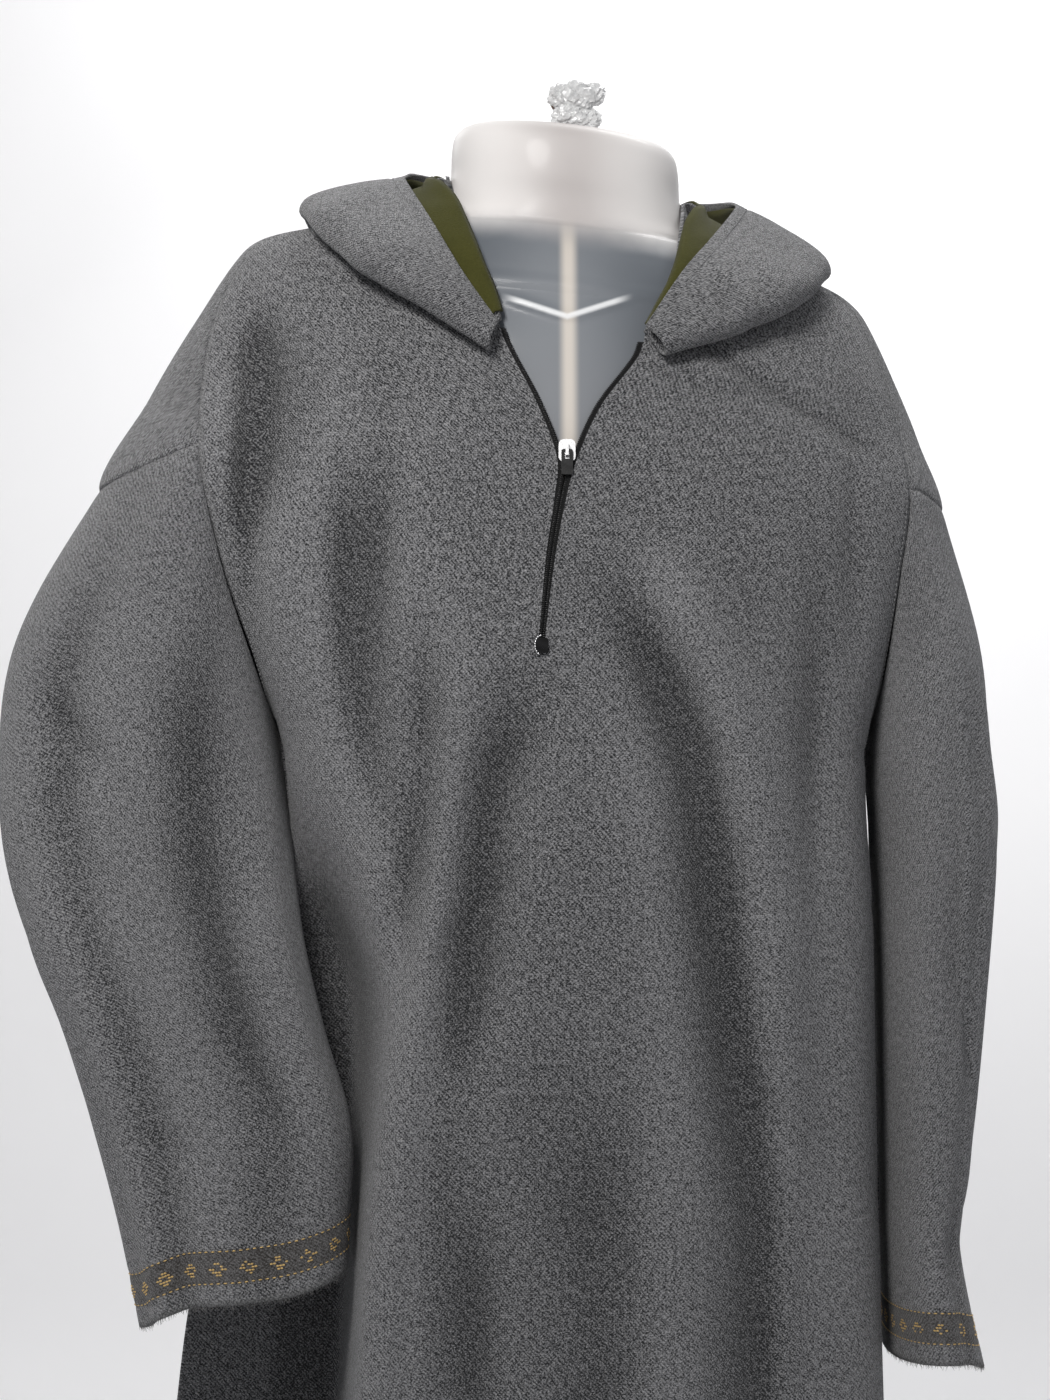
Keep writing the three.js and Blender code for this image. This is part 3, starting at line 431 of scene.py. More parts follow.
def sleeve_grid(hand, down, angles):
    sign = -1 if hand == "left" else 1
    ring = columns(SLEEVES[hand])
    cuff = CUFF[hand]
    deg = np.asarray(angles, float)
    c, s = np.cos(np.radians(deg)), np.sin(np.radians(deg))

    def plain(h):
        n = ring["power"](h)
        pull = 0 * h
        for at1, at2, h1, h3, wide, deep in SLEEVE_FOLDS[hand]:
            t = (h1 - h) / (h1 - h3)
            off = (deg - lerp(at1, at2, np.clip(t, 0, 1)) + 540) % 360 - 180
            pull = pull + deep * ease(t / 0.3) * np.exp(-((off / wide) ** 2))
        centre = (ring["out"](h) + ring["inn"](h)) / 2
        wide = np.abs(ring["out"](h) - ring["inn"](h)) / 2 - pull * np.abs(c)
        deep = ring["deep"](h) - pull * np.abs(s)
        turn = lambda v: np.sign(v) * np.abs(v) ** (2 / n)
        return centre + sign * wide * turn(c), ring["mid"](h) - deep * turn(s)

    side = np.where(deg <= 180, -1, 1)
    d = np.where(deg <= 180, deg, 360 - deg)
    high = d <= CORNER
    x_top = shoulder_x(ARMHOLE, hand, 0.5 - side * np.minimum(d, CORNER) / CORNER / 2)
    h_side = lerp(ARMHOLE, UNDERARM, np.clip((d - CORNER) / (180 - CORNER), 0, 1))
    start_h = np.where(high, ARMHOLE, h_side)
    start_x = sign * np.where(high, x_top, front_edge[hand](h_side))
    start_y = body_y(start_x, start_h, side)
    along = np.where(c > 0, cuff["outside"], cuff["inside"])
    across = np.where(s > 0, cuff["front"], cuff["back"])
    end_h = along * c * c + across * s * s
    first_x, first_y = plain(start_h)
    rows = []
    for t in down:
        h = lerp(start_h, end_h, t)
        x, y = plain(h)
        left = 1 - ease(t / 0.3)
        rows.append(place(x + (start_x - first_x) * left, y + (start_y - first_y) * left, h))
    return np.array(rows)


# ---- hood --------------------------------------------------------------------------------------
def spline(points, t):
    """Centripetal Catmull-Rom through points, at an array of places from 0 to 1."""
    last = len(points) - 1
    at = np.clip(np.asarray(t, float) * last, 0, last)
    i = np.minimum(at.astype(int), last - 1)
    w = (at - i)[:, None]
    padded = np.concatenate([2 * points[:1] - points[1:2], points, 2 * points[-1:] - points[-2:-1]])
    p0, p1, p2, p3 = (padded[i + k] for k in range(4))
    gap = lambda a, b: (((a - b) ** 2).sum(-1, keepdims=True)) ** 0.25
    d0, d1, d2 = gap(p0, p1), gap(p1, p2), gap(p2, p3)
    a = ((p1 - p0) / d0 - (p2 - p0) / (d0 + d1) + (p2 - p1) / d1) * d1
    b = ((p2 - p1) / d1 - (p3 - p1) / (d1 + d2) + (p3 - p2) / d2) * d1
    return p1 + a * w + (3 * (p2 - p1) - 2 * a - b) * w**2 + (2 * (p1 - p2) + a + b) * w**3


def even_spline(points, shares):
    """The same curve at shares of its length."""
    fine = spline(points, np.linspace(0, 1, 161))
    run = np.concatenate([[0], np.cumsum(np.linalg.norm(np.diff(fine, axis=0), axis=1))])
    want = np.asarray(shares) * run[-1]
    return np.stack([np.interp(want, run, fine[:, k]) for k in range(3)], -1)


def outward(x, h, side):
    step = 1.5
    across = on_body(x + step, h, side) - on_body(x - step, h, side)
    up = on_body(x, h + step, side) - on_body(x, h - step, side)
    n = -side * np.cross(across, up)
    return n / np.linalg.norm(n)


def outside(p):
    """How far points lie outside the body's sections, roughly."""
    h = p[..., 2].copy()
    for _ in range(8):
        h = h + p[..., 2] - place(p[..., 0], 0, h)[..., 2]
    above = np.maximum(0, h - NECK)
    h = np.minimum(h, NECK)
    n = body["power"](h)
    deep = np.where(p[..., 1] < 0, body["front"](h), body["back"](h))
    r = ((np.abs(p[..., 0]) / reach(p[..., 0], h)) ** n + (np.abs(p[..., 1]) / deep) ** n) ** (1 / n)
    beside = (r - 1) * np.hypot(p[..., 0], p[..., 1])
    return np.where(above > 0, np.hypot(np.maximum(0, beside), above), beside)


def clear_of(p, gap):
    """Points moved out until they clear the body by a given distance."""
    p = p.copy()
    for _ in range(12):
        d = outside(p)
        short = d < gap
        if not short.any():
            break
        slope = np.stack([(outside(p + 0.5 * np.eye(3)[k]) - d) / 0.5 for k in range(3)], -1)
        move = np.minimum(4, gap - d) / np.maximum(1e-6, (slope**2).sum(-1))
        p = np.where(short[..., None], p + slope * move[..., None], p)
    return p


def hood_grid(hand, along, shares):
    sign = -1 if hand == "left" else 1
    rows = HOOD[hand]
    keys = []
    for k in range(len(rows["off"])):
        side, off = rows["side"][k], rows["off"][k]
        over_x, over_h, seam_h = rows["over_x"][k], rows["over_h"][k], rows["seam_h"][k]
        seam_x = rows["seam_x"][k] if side > 0 else float(neckline[hand](seam_h))
        lifted = lambda x, h, by: on_body(x, h, side) + outward(x, h, side) * by
        under = lifted(sign * over_x, over_h, HOOD_LIFT)
        seam = lifted(sign * seam_x, seam_h, HOOD_SEAT)
        low = lifted(sign * (seam_x + over_x) / 2, (seam_h + over_h) / 2, HOOD_LIFT)
        out = outward(sign * over_x, over_h, side)
        away = (under - low) / np.linalg.norm(under - low)
        tip = under + out * off + away * off * 0.8
        over = under + out * off * 2
        edge = np.array([rows[n][k] for n in ("ex", "ey", "ez")])
        high = lerp(over, edge, 0.55) + out * off * 0.35
        keys.append([seam, low, under, tip, over, high, edge])
    keys = np.array(keys)
    lines = np.stack([spline(keys[:, k], along) for k in range(keys.shape[1])], 1)
    grid = np.array([even_spline(line, shares) for line in lines])
    ridge = RIDGE_LIFT * np.exp(-(((along - 0.56) / 0.17) ** 2))
    gap = ridge[:, None] + np.where(shares == 0, HOOD_SEAT, HOOD_LIFT)[None, :]
    held = clear_of(grid, gap)
    return np.where((shares <= 0.5)[None, :, None], held, grid)


# ---- grids to cloth --------------------------------------------------------------------------
def normals_of(grid, wrap=False):
    if wrap:
        du = np.roll(grid, -1, 1) - np.roll(grid, 1, 1)
    else:
        du = np.gradient(grid, axis=1)
    n = np.cross(du, np.gradient(grid, axis=0))
    return n / np.maximum(1e-9, np.linalg.norm(n, axis=-1, keepdims=True))


def runs(grid, axis):
    """Distance along the rows or columns of a grid, from its first line."""
    step = np.linalg.norm(np.diff(grid, axis=axis), axis=-1)
    zero = np.zeros_like(np.take(step, [0], axis))
    return np.concatenate([zero, np.cumsum(step, axis)], axis)


def cloud(grid, scale, seed):
    """Smooth unevenness from -1 to 1, made of a few slow waves."""
    draw = random.Random(seed)
    total = np.zeros(grid.shape[:-1])
    for _ in range(7):
        way = np.array([draw.uniform(-1, 1), draw.uniform(-1, 1), draw.uniform(-0.45, 0.45)])
        total += np.sin(grid @ way / scale + draw.uniform(0, 6.28))
    return total / 4


def smoothed(values, reach, axis, wrap):
    """A running average over a grid's rows or columns."""
    pad = [(0, 0)] * values.ndim
    pad[axis] = (reach, reach)
    total = np.cumsum(np.pad(values, pad, mode="wrap" if wrap else "edge"), axis)
    total = np.concatenate([np.zeros_like(np.take(total, [0], axis)), total], axis)
    width = 2 * reach + 1
    count = values.shape[axis]
    high = np.take(total, np.arange(width, width + count), axis)
    return (high - np.take(total, np.arange(count), axis)) / width


def painted_fold_shade(piece, grid, wrap=False):
    """How deep each point lies in a fold: -1 on its crest, 1 in its trough."""
    mean = smoothed(smoothed(grid, 13, 0, False), 11, 1, wrap)
    deep = ((mean - grid) * normals_of(grid, wrap)).sum(-1) * OUT[piece]
    return np.clip(deep / FULL_SHADE_DEPTH, -1, 1)


def cloth(name, grid, finish, *, uv, fold_shade=None, keep=None, flip=False, wrap=False, wall=WOOL):
    """A sheet through a grid of points, with its thickness inwards."""
    nv, nu = grid.shape[:2]
    if wrap:
        grid = np.concatenate([grid, grid[:, :1]], 1)
        nu += 1
        if fold_shade is not None:
            fold_shade = np.concatenate([fold_shade, fold_shade[:, :1]], 1)
    bm = bmesh.new()
    layer = bm.loops.layers.uv.new("UVMap")
    # per-vertex painted fold shade, read by the wool's colour
    shade_layer = bm.verts.layers.float.new("fold_shade")
    bmesh.ops.create_grid(bm, x_segments=nu - 1, y_segments=nv - 1, size=1.0)
    spot = {}
    for vert in bm.verts:
        u = round((vert.co.x + 1) / 2 * (nu - 1))
        v = round((vert.co.y + 1) / 2 * (nv - 1))
        spot[vert] = (v, u)
    gone = []
    for face in bm.faces:
        corners = [spot[vert] for vert in face.verts]
        cell = min(c[0] for c in corners), min(c[1] for c in corners)
        if keep is not None and not keep[cell]:
            gone.append(face)
        for loop, corner in zip(face.loops, corners):
            loop[layer].uv = uv[corner] * MM
        face.smooth = True
    for vert, corner in spot.items():
        vert.co = grid[corner] * MM
        vert[shade_layer] = 0.0 if fold_shade is None else fold_shade[corner]
    bmesh.ops.delete(bm, geom=gone, context="FACES")
    bmesh.ops.remove_doubles(bm, verts=bm.verts, dist=0.02 * MM)
    if flip:
        bmesh.ops.reverse_faces(bm, faces=bm.faces)
    piece = finished(name, bm, finish)
    solid = piece.modifiers.new("wall", "SOLIDIFY")
    solid.thickness = wall * MM
    solid.offset = -1
    return piece


def finished(name, bm, finish, body_name=GARMENT):
    mesh = bpy.data.meshes.new(name)
    bm.to_mesh(mesh)
    bm.free()
    piece = bpy.data.objects.new(name, mesh)
    bpy.context.scene.collection.objects.link(piece)
    mesh.materials.append(finish)
    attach(piece, body_name)
    return piece


def edge_line(grid, side, inset):
    """Points and normals at a distance in from one edge of a grid: top, bottom, left or right."""
    n = normals_of(grid)
    if side in ("top", "bottom"):
        grid, n = grid.transpose(1, 0, 2), n.transpose(1, 0, 2)
    if side in ("right", "bottom"):
        grid, n = grid[:, ::-1], n[:, ::-1]
    run = runs(grid, 1)
    pts = np.array([[np.interp(inset, r, g[:, k]) for k in range(3)] for r, g in zip(run, grid)])
    nrm = np.array([[np.interp(inset, r, g[:, k]) for k in range(3)] for r, g in zip(run, n)])
    return pts, nrm / np.maximum(1e-9, np.linalg.norm(nrm, axis=1, keepdims=True))


def evenly(points, extra, spacing):
    """Points along a line at equal spacing, with their directions and another vector each."""
    run = np.concatenate([[0], np.cumsum(np.linalg.norm(np.diff(points, axis=0), axis=1))])
    count = max(2, int(run[-1] / spacing))
    at = np.linspace(0, run[-1], count, endpoint=False) + spacing / 2
    pick = lambda a: np.stack([np.interp(at, run, a[:, k]) for k in range(3)], -1)
    ahead = np.stack([np.interp(at + 0.5, run, points[:, k]) for k in range(3)], -1)
    return pick(points), ahead - pick(points), pick(extra)


def basis(at, along, up):
    """A matrix that stands at a point with X along a line and Z along a normal."""
    x = Vector(along).normalized()
    z = Vector(up) - x * Vector(up).dot(x)
    z.normalize()
    y = z.cross(x)
    turn = Matrix((x, y, z)).transposed().to_4x4()
    return Matrix.Translation(Vector(at) * MM) @ turn


def threads(name, runs_of, finish, *, length, gap, thick, proud=0.3, body_name=GARMENT):
    """Stitches along lines on the cloth; each line is its points and normals."""
    bm = bmesh.new()
    for points, normals in runs_of:
        at, along, up = evenly(points, normals, length + gap)
        for p, a, n in zip(at, along, up):
            spot = basis(p + n * proud, a, n)
            size = Matrix.Diagonal((length / 2 * MM, thick / 2 * MM, thick / 2 * MM, 1))
            bmesh.ops.create_uvsphere(bm, u_segments=6, v_segments=4, radius=1, matrix=spot @ size @ POLE_X)
    for face in bm.faces:
        face.smooth = True
    return finished(name, bm, finish, body_name)


# Whether a grid's own normals point out of the garment (1) or into it (-1).
OUT = {"front": -1, "back": 1, "sleeve_left": -1, "sleeve_right": 1, "hood_left": 1, "hood_right": -1}
FULL_SHADE_DEPTH = 5.6  # depth at which a fold gets the full painted shade
RIDGE_FOOT = -0.166  # lowest point of the V moulded into the form's chest, in metres
POLE_X = Matrix.Rotation(math.pi / 2, 4, "Y")  # lays a sphere's poles along X


# ---- shader maths ----------------------------------------------------------------------------
class Socket:
    """An output of a node; Python's operators on it add Math nodes."""

    def __init__(self, finish, socket):
        self.finish, self.socket = finish, socket

    def _math(self, operation, *values):
        return self.finish.node("ShaderNodeMath", {"operation": operation}, dict(enumerate(values)))

    def __add__(self, other):
        return self._math("ADD", self, other)

    __radd__ = __add__

    def __mul__(self, other):
        return self._math("MULTIPLY", self, other)

    __rmul__ = __mul__

    def __sub__(self, other):
        return self._math("SUBTRACT", self, other)

    def __rsub__(self, other):
        return self._math("SUBTRACT", other, self)

    def wave(self):
        """A sine of the value, moved to run from 0 to 1."""
        return self._math("SINE", self) * 0.5 + 0.5

    def size(self):
        return self._math("ABSOLUTE", self)

    def between(self, low, high):
        """0 below low, 1 above high, and smooth in between."""
        sockets = {0: self, 1: low, 2: high, 3: 0.0, 4: 1.0}
        return self.finish.node("ShaderNodeMapRange", {"interpolation_type": "SMOOTHSTEP"}, sockets)

    def other(self, name):
        return Socket(self.finish, self.socket.node.outputs[name])


class Finish:
    """A material under construction, round one Principled shader."""

    def __init__(self, name, **fixed):
        self.material = bpy.data.materials.new(name)
        self.material.use_nodes = True
        self.tree = self.material.node_tree
        self.shader = self.tree.nodes["Principled BSDF"]
        for socket, value in fixed.items():
            self.shader.inputs[socket.replace("_", " ").title().replace("Ior", "IOR")].default_value = value

    def node(self, kind, settings=None, sockets=None, out=0):
        made = self.tree.nodes.new(kind)
        for name, value in (settings or {}).items():
            setattr(made, name, value)
        for name, value in (sockets or {}).items():
            self.feed(made.inputs[name], value)
        return Socket(self, made.outputs[out])

    def feed(self, socket, value):
        if isinstance(value, Socket):
            self.tree.links.new(value.socket, socket)
        else:
            socket.default_value = value

    def blend(self, share, first, second):
        first, second = ((*c, 1) if isinstance(c, tuple) and len(c) == 3 else c for c in (first, second))
        return self.node("ShaderNodeMix", {"data_type": "RGBA"}, {0: share, 6: first, 7: second}, out=2)

    def noise(self, where, scale, detail=2.0, rough=0.5):
        sockets = {"Vector": where, "Scale": scale, "Detail": detail, "Roughness": rough}
        return self.node("ShaderNodeTexNoise", {}, sockets)

    def coordinates(self, name="UV"):
        return self.node("ShaderNodeTexCoord").other(name)

    def stretched(self, where, size):
        return self.node("ShaderNodeVectorMath", {"operation": "MULTIPLY"}, {0: where, 1: size})

    def apart(self, where):
        split = self.node("ShaderNodeSeparateXYZ", {}, {0: where})
        return split, split.other("Y"), split.other("Z")

    def done(self, **fed):
        for name, value in fed.items():
            self.feed(self.shader.inputs[name.replace("_", " ").title()], value)
        return self.material

    def bumped(self, height, distance, strength=1.0):
        return self.node("ShaderNodeBump", {}, {"Height": height, "Distance": distance, "Strength": strength})


def wool_finish(name, band=False):
    """Heathered grey twill; with a band, the woven strip that runs above a cuff's raw edge."""
    cloth_sizes = bpy.context.scene.pheran_cloth
    dark, light = tuple(cloth_sizes.wool_dark), tuple(cloth_sizes.wool_light)
    f = Finish(name, roughness=0.93, sheen_weight=0.25, sheen_roughness=0.5, specular_ior_level=0.2)
    uv = f.coordinates("UV")
    u, v, _ = f.apart(uv)
    turns = 2 * math.pi / (cloth_sizes.weave_pitch * math.sqrt(2))
    drift = f.noise(uv, 150, 2, 0.6) * 0.006
    twill = ((u + v + drift) * turns).wave()
    yarn = ((u - v + drift) * (turns * 1.2)).wave()
    weave = twill * (yarn * 0.75 + 0.25)
    fibre = f.noise(uv, 780, 2, 0.7).between(0.32, 0.68)
    blur = f.noise(f.stretched(uv, (1, 0.6, 1)), 330, 2, 0.6).between(0.3, 0.7)
    slow = f.noise(f.coordinates("Object"), 9, 2, 0.5)
    fleck = f.noise(f.stretched(uv, (1.0, 0.55, 1)), 760, 1, 0.5).between(0.62, 0.74)
    dash = f.noise(f.stretched(uv, (0.45, 1.3, 1)), 640, 1, 0.5).between(0.63, 0.75)
    fold_shade = f.node("ShaderNodeAttribute", {"attribute_name": "fold_shade"}, out="Fac")
    # painted shade and light: the tone darkens in fold troughs and lightens on fold crests
    tone = weave * 0.62 + fibre * 0.82 + blur * 0.4 + slow * 0.2 - fold_shade * 0.17 - 0.56
    colour = f.blend(tone, dark, light)
    colour = f.blend(fleck * 0.42, colour, tuple(cloth_sizes.fleck))
    colour = f.blend(dash * 0.36, colour, tuple(cloth_sizes.fleck))
    # painted shade: fold troughs blend towards near-black
    colour = f.blend(fold_shade.between(0.0, 1.2) * 0.2, colour, (0.012, 0.012, 0.013))
    if band:
        low, high = BAND_LOW * MM, BAND_HIGH * MM
        strip = v.between(low - 0.0012, low) * (1 - v.between(high, high + 0.0012))
        colour = f.blend(strip * 0.55, colour, (0.050, 0.043, 0.036))
        raw = 1 - v.between(0.0, 0.006)
        colour = f.blend(raw * 0.45, colour, (0.17, 0.17, 0.165))
    height = weave * 0.9 + fibre * 0.5
    return f.done(base_color=colour, normal=f.bumped(height, 0.0006, 1.0))


def fleece_finish():
    f = Finish("olive_fleece", roughness=1.0, sheen_weight=0.1, sheen_roughness=0.5, specular_ior_level=0.1)
    where = f.coordinates("Object")
    pile = f.noise(where, 700, 4, 0.7)
    patch = f.noise(where, 60, 2, 0.5)
    settings = bpy.context.scene.pheran_cloth
    dark, light = tuple(settings.fleece_dark), tuple(settings.fleece_light)
    colour = f.blend(pile * 0.7 + patch * 0.4 - 0.05, dark, light)
    return f.done(base_color=colour, normal=f.bumped(pile, 0.0008, 0.8))


def thread_finish(name, dark, light, rough=0.8, metal=0.0):
    """Twisted thread: a fine slant across each stitch."""
    f = Finish(name, roughness=rough, metallic=metal, specular_ior_level=0.3)
    where = f.coordinates("Object")
    x, y, z = f.apart(where)
    twist = ((x + z * 1.3 + y) * 9000).wave()
    tone = twist * 0.5 + f.noise(where, 260, 2, 0.5) * 0.7 - 0.1
    return f.done(base_color=f.blend(tone, dark, light), normal=f.bumped(twist, 0.0001, 0.6))


def plastic_finish():
    """Frosted plastic: milky at the neck, where light comes through, and cooler below."""
    form = bpy.context.scene.pheran_form
    f = Finish("frosted_plastic", roughness=0.5, coat_weight=0.08, coat_roughness=0.12, ior=1.4)
    where = f.coordinates("Object")
    x, y, z = f.apart(where)
    mottle = f.noise(f.stretched(where, (1.0, 1.0, 0.5)), 26, 3, 0.55)
    # where the painted light of the neck gives way to the painted shade of the chest
    below = 1 - (z + x * 0.1 + mottle * 0.012).between(-0.112, -0.082)
    side = x.size().between(0.0, 0.06)
    low = 1 - z.between(-0.27, -0.15)
    # neck: painted light through the shell, brightest at the sides and dimmer down the middle
    lit_neck = f.blend((1 - side) * 0.75 + mottle * 0.2, tuple(form.upper_colour), (0.45, 0.415, 0.405))
    # chest: the plastic's cool tint under painted shade, darker towards the sides and less so towards the
    # foot
    shaded_chest = f.blend(side * 0.6 + mottle * 0.2, tuple(form.lower_colour), (0.085, 0.098, 0.115))
    shaded_chest = f.blend(low * 0.6, shaded_chest, (0.20, 0.205, 0.22))
    colour = f.blend(below, lit_neck, shaded_chest)
    front = 1 - y.between(-0.02, 0.0)
    # painted light: a narrow cream streak of light down the middle of the chest front
    painted_streak = (1 - (x - 0.001).size().between(0.001, 0.008)) * below * front
    colour = f.blend(painted_streak * 0.8, colour, (0.70, 0.64, 0.57))
    # painted highlight: a white V along the moulded ridge of the chest
    arm = x.size() * 0.34 + RIDGE_FOOT
    painted_ridge_highlight = (1 - (z - arm).size().between(0.0005, 0.0032)) * (1 - x.size().between(0.03, 0.045)) * front
    colour = f.blend(painted_ridge_highlight * 0.8, colour, (0.93, 0.94, 0.95))
    grain = f.noise(where, 900, 2, 0.5)
    return f.done(base_color=colour, normal=f.bumped(grain, 0.00008, 0.4))


def rust_finish():
    f = Finish("rusty_steel", metallic=0.5)
    where = f.coordinates("Object")
    spots = f.noise(where, 320, 4, 0.65)
    rust = spots.between(0.38, 0.58)
    colour = f.blend(rust, (0.36, 0.34, 0.32), (0.17, 0.065, 0.025))
    return f.done(base_color=colour, roughness=rust * 0.4 + 0.45, normal=f.bumped(spots, 0.0004, 0.7))


def film_finish():
    f = Finish("clear_film", roughness=0.12, alpha=0.82, coat_weight=0.5, coat_roughness=0.08, ior=1.5)
    where = f.coordinates("Object")
    crumple = f.noise(where, 260, 3, 0.6)
    colour = f.blend(crumple, (0.50, 0.51, 0.52), (0.95, 0.95, 0.95))
    return f.done(base_color=colour, normal=f.bumped(crumple, 0.0012, 1.0))


def metal_finish():
    f = Finish("satin_nickel", metallic=1.0)
    where = f.coordinates("Object")
    scratches = f.noise(f.stretched(where, (1, 1, 0.15)), 2200, 2, 0.6)
    colour = f.blend(scratches, (0.55, 0.55, 0.56), (0.78, 0.78, 0.79))
    worn = f.bumped(scratches, 0.00005, 0.4)
    return f.done(base_color=colour, roughness=scratches * 0.2 + 0.2, normal=worn)


def black_finish(name, rough, weave):
    f = Finish(name, roughness=rough, specular_ior_level=0.3)
    where = f.coordinates("Object")
    x, _, z = f.apart(where)
    rib = ((z + x * 0.4) * weave).wave()
    speck = f.noise(where, 900, 2, 0.6)
    colour = f.blend(rib * 0.5 + speck * 0.4, (0.003, 0.003, 0.003), (0.014, 0.014, 0.015))
    return f.done(base_color=colour, normal=f.bumped(rib + speck * 0.3, 0.00015, 0.7))


# ---- settings ----------------------------------------------------------------------------------
def colour_setting(name, text, value):
    return FloatVectorProperty(
        name=name, description=text, subtype="COLOR", size=3, min=0, max=1, default=value
    )


class PheranClothSettings(bpy.types.PropertyGroup):
    weave_pitch: FloatProperty(
        name="Weave pitch",
        description="Distance between two ribs of the twill",
        default=0.0021,
        min=0.0005,
        unit="LENGTH",
    )
    stitch: FloatProperty(
        name="Stitch length", description="Length of a topstitch", default=0.0026, min=0.001, unit="LENGTH"
    )
    wool_dark: colour_setting("Dark wool", "Darker of the wool's two greys", (0.016, 0.017, 0.019))
    wool_light: colour_setting("Light wool", "Lighter of the wool's two greys", (0.34, 0.34, 0.352))
    fleck: colour_setting("Flecks", "Pale fibres in the wool", (0.50, 0.49, 0.48))
    fleece_dark: colour_setting("Dark fleece", "Fleece in its hollows", (0.030, 0.031, 0.008))
    fleece_light: colour_setting("Light fleece", "Fleece on its pile", (0.085, 0.083, 0.022))
    gold: colour_setting("Gold thread", "Metallic thread of the cuff bands", (0.95, 0.66, 0.28))


class PheranFormSettings(bpy.types.PropertyGroup):
    # The neck colour carries painted light through the shell; the chest colour is the plastic's tint under
    # painted shade.
    upper_colour: colour_setting("Neck", "The form's milky neck", (0.84, 0.815, 0.80))
    lower_colour: colour_setting("Chest", "The form's cooler chest", (0.205, 0.22, 0.24))


class PheranStageSettings(bpy.types.PropertyGroup):
    key: FloatProperty(
        name="Key light", description="Power of the main light", default=17.0, min=0, unit="POWER"
    )
    fill: FloatProperty(
        name="Fill light", description="Power of the light opposite", default=3.0, min=0, unit="POWER"
    )
    wall: FloatProperty(
        name="Wall light", description="Power of the light on the wall", default=62.0, min=0, unit="POWER"
    )
    back: FloatProperty(
        name="Back light", description="Power of the light behind", default=9.0, min=0, unit="POWER"
    )
    sky: FloatProperty(
        name="Surround", description="Strength of the even light all round", default=0.26, min=0
    )


# ---- pieces ------------------------------------------------------------------------------------
FINE = 8  # how many times finer than the solids' rows the cloth is
SEAM_ROLL = 1.3  # depth to which a stitched edge turns in
SEAM_SOFT = 3.2  # and over what width
BAND_LOW, BAND_HIGH = 15.0, 36.0  # the cuff's woven band, up from its raw edge
HEM_STITCH = 8.4  # topstitching in from the hood's face edge

# Small slack creases over the main folds: centre x, h, half length, half width, slope, depth.
CREASES_FRONT = (
    (236, -560, 26, 7, 0.05, 2.2),
    (222, -452, 30, 7, 0.3, 2.0),
    (130, -196, 60, 7, -0.55, 4.2),
    (96, -205, 34, 5, -0.2, 2.4),
    (150, -226, 40, 6, -0.5, -1.6),
    (-213, -285, 8, 80, 0, 7.5),
    (-190, -320, 7, 110, 0, -2.5),
    (-168, -230, 9, 60, 0, 3.5),
    (-150, -340, 6, 100, 0, 2.6),
    (-122, -300, 9, 90, 0, 3.6),
    (-104, -420, 8, 80, 0, -2.2),
    (192, -320, 9, 90, 0, 4.2),
    (166, -440, 10, 110, 0, 2.6),
    (-60, -560, 50, 10, 1.2, 2.0),
    (150, -700, 60, 12, -0.9, 1.8),
    (-20, -900, 70, 14, 0.7, 1.6),
    (-30, -960, 12, 150, 0, 3.6),
    (96, -980, 13, 170, 0, 4.4),
    (158, -880, 12, 170, 0, 4.0),
    (-112, -980, 12, 170, 0, 4.0),
    (40, -760, 10, 110, 0, 2.0),
)


def creases(table_rows, x, h):
    total = np.zeros(np.broadcast(x, h).shape)
    for cx, ch, long, wide, slope, deep in table_rows:
        across = (h - ch) - slope * (x - cx)
        total += deep * np.exp(-(((x - cx) / long) ** 2) - (across / wide) ** 2)
    return total


def drop_in(piece, grid, depth, wrap=False):
    """The grid moved in, towards the inside of the garment."""
    return grid - normals_of(grid, wrap) * (OUT[piece] * depth)[..., None]


def rim(piece, grid, side, inset):
    """Points in from an edge of a piece's grid, with outward normals."""
    points, normals = edge_line(grid, side, inset)
    return points, normals * OUT[piece]


def seam_turn(distance):
    return SEAM_ROLL * np.exp(-((distance / SEAM_SOFT) ** 2))


def front_points():
    x, h, keep = front_grid(FINE, 76)
    grid = on_body(x, h, -1)
    half = grid.shape[1] // 2
    left, right = grid[:, :half], grid[:, half:]
    from_left = runs(left, 1)
    from_right = runs(right[:, ::-1], 1)[:, ::-1]
    distance = np.concatenate([from_left, from_right], 1)
    to_edge = np.where(h < HEM + 1, 99, distance)
    depth = seam_turn(to_edge) + creases(CREASES_FRONT, x, h)
    depth = depth + 0.45 * cloud(grid, 26, 4) + 0.25 * cloud(grid, 9, 5)
    depth = depth * np.minimum(1, 0.25 + distance / 30)
    across = np.concatenate([from_left - from_left[:, -1:], from_right[:, :1] - from_right], 1)
    uv = np.stack([across, h], -1)
    return drop_in("front", grid, depth), uv, keep


def back_points():
    x, h, side, keep = back_grid(FINE, 112, 36)
    grid = on_body(x, h, side)
    across = runs(grid, 1)
    centre = across - across[:, across.shape[1] // 2][:, None]
    armhole = rows_of(FINE)[1]
    ends = np.minimum(across, across[:, -1:] - across)
    low = np.zeros_like(ends)
    first, last = 36, x.shape[1] - 37
    low = np.minimum(across - across[:, first : first + 1], across[:, last : last + 1] - across)
    rows = np.arange(len(h))[:, None]
    distance = np.where(rows >= armhole, np.maximum(low, 0), ends)
    depth = seam_turn(distance) + 0.6 * cloud(grid, 28, 8) + 0.25 * cloud(grid, 10, 9)
    depth = depth * np.minimum(1, 0.25 + distance / 30)
    return drop_in("back", grid, depth), np.stack([centre, h], -1), keep


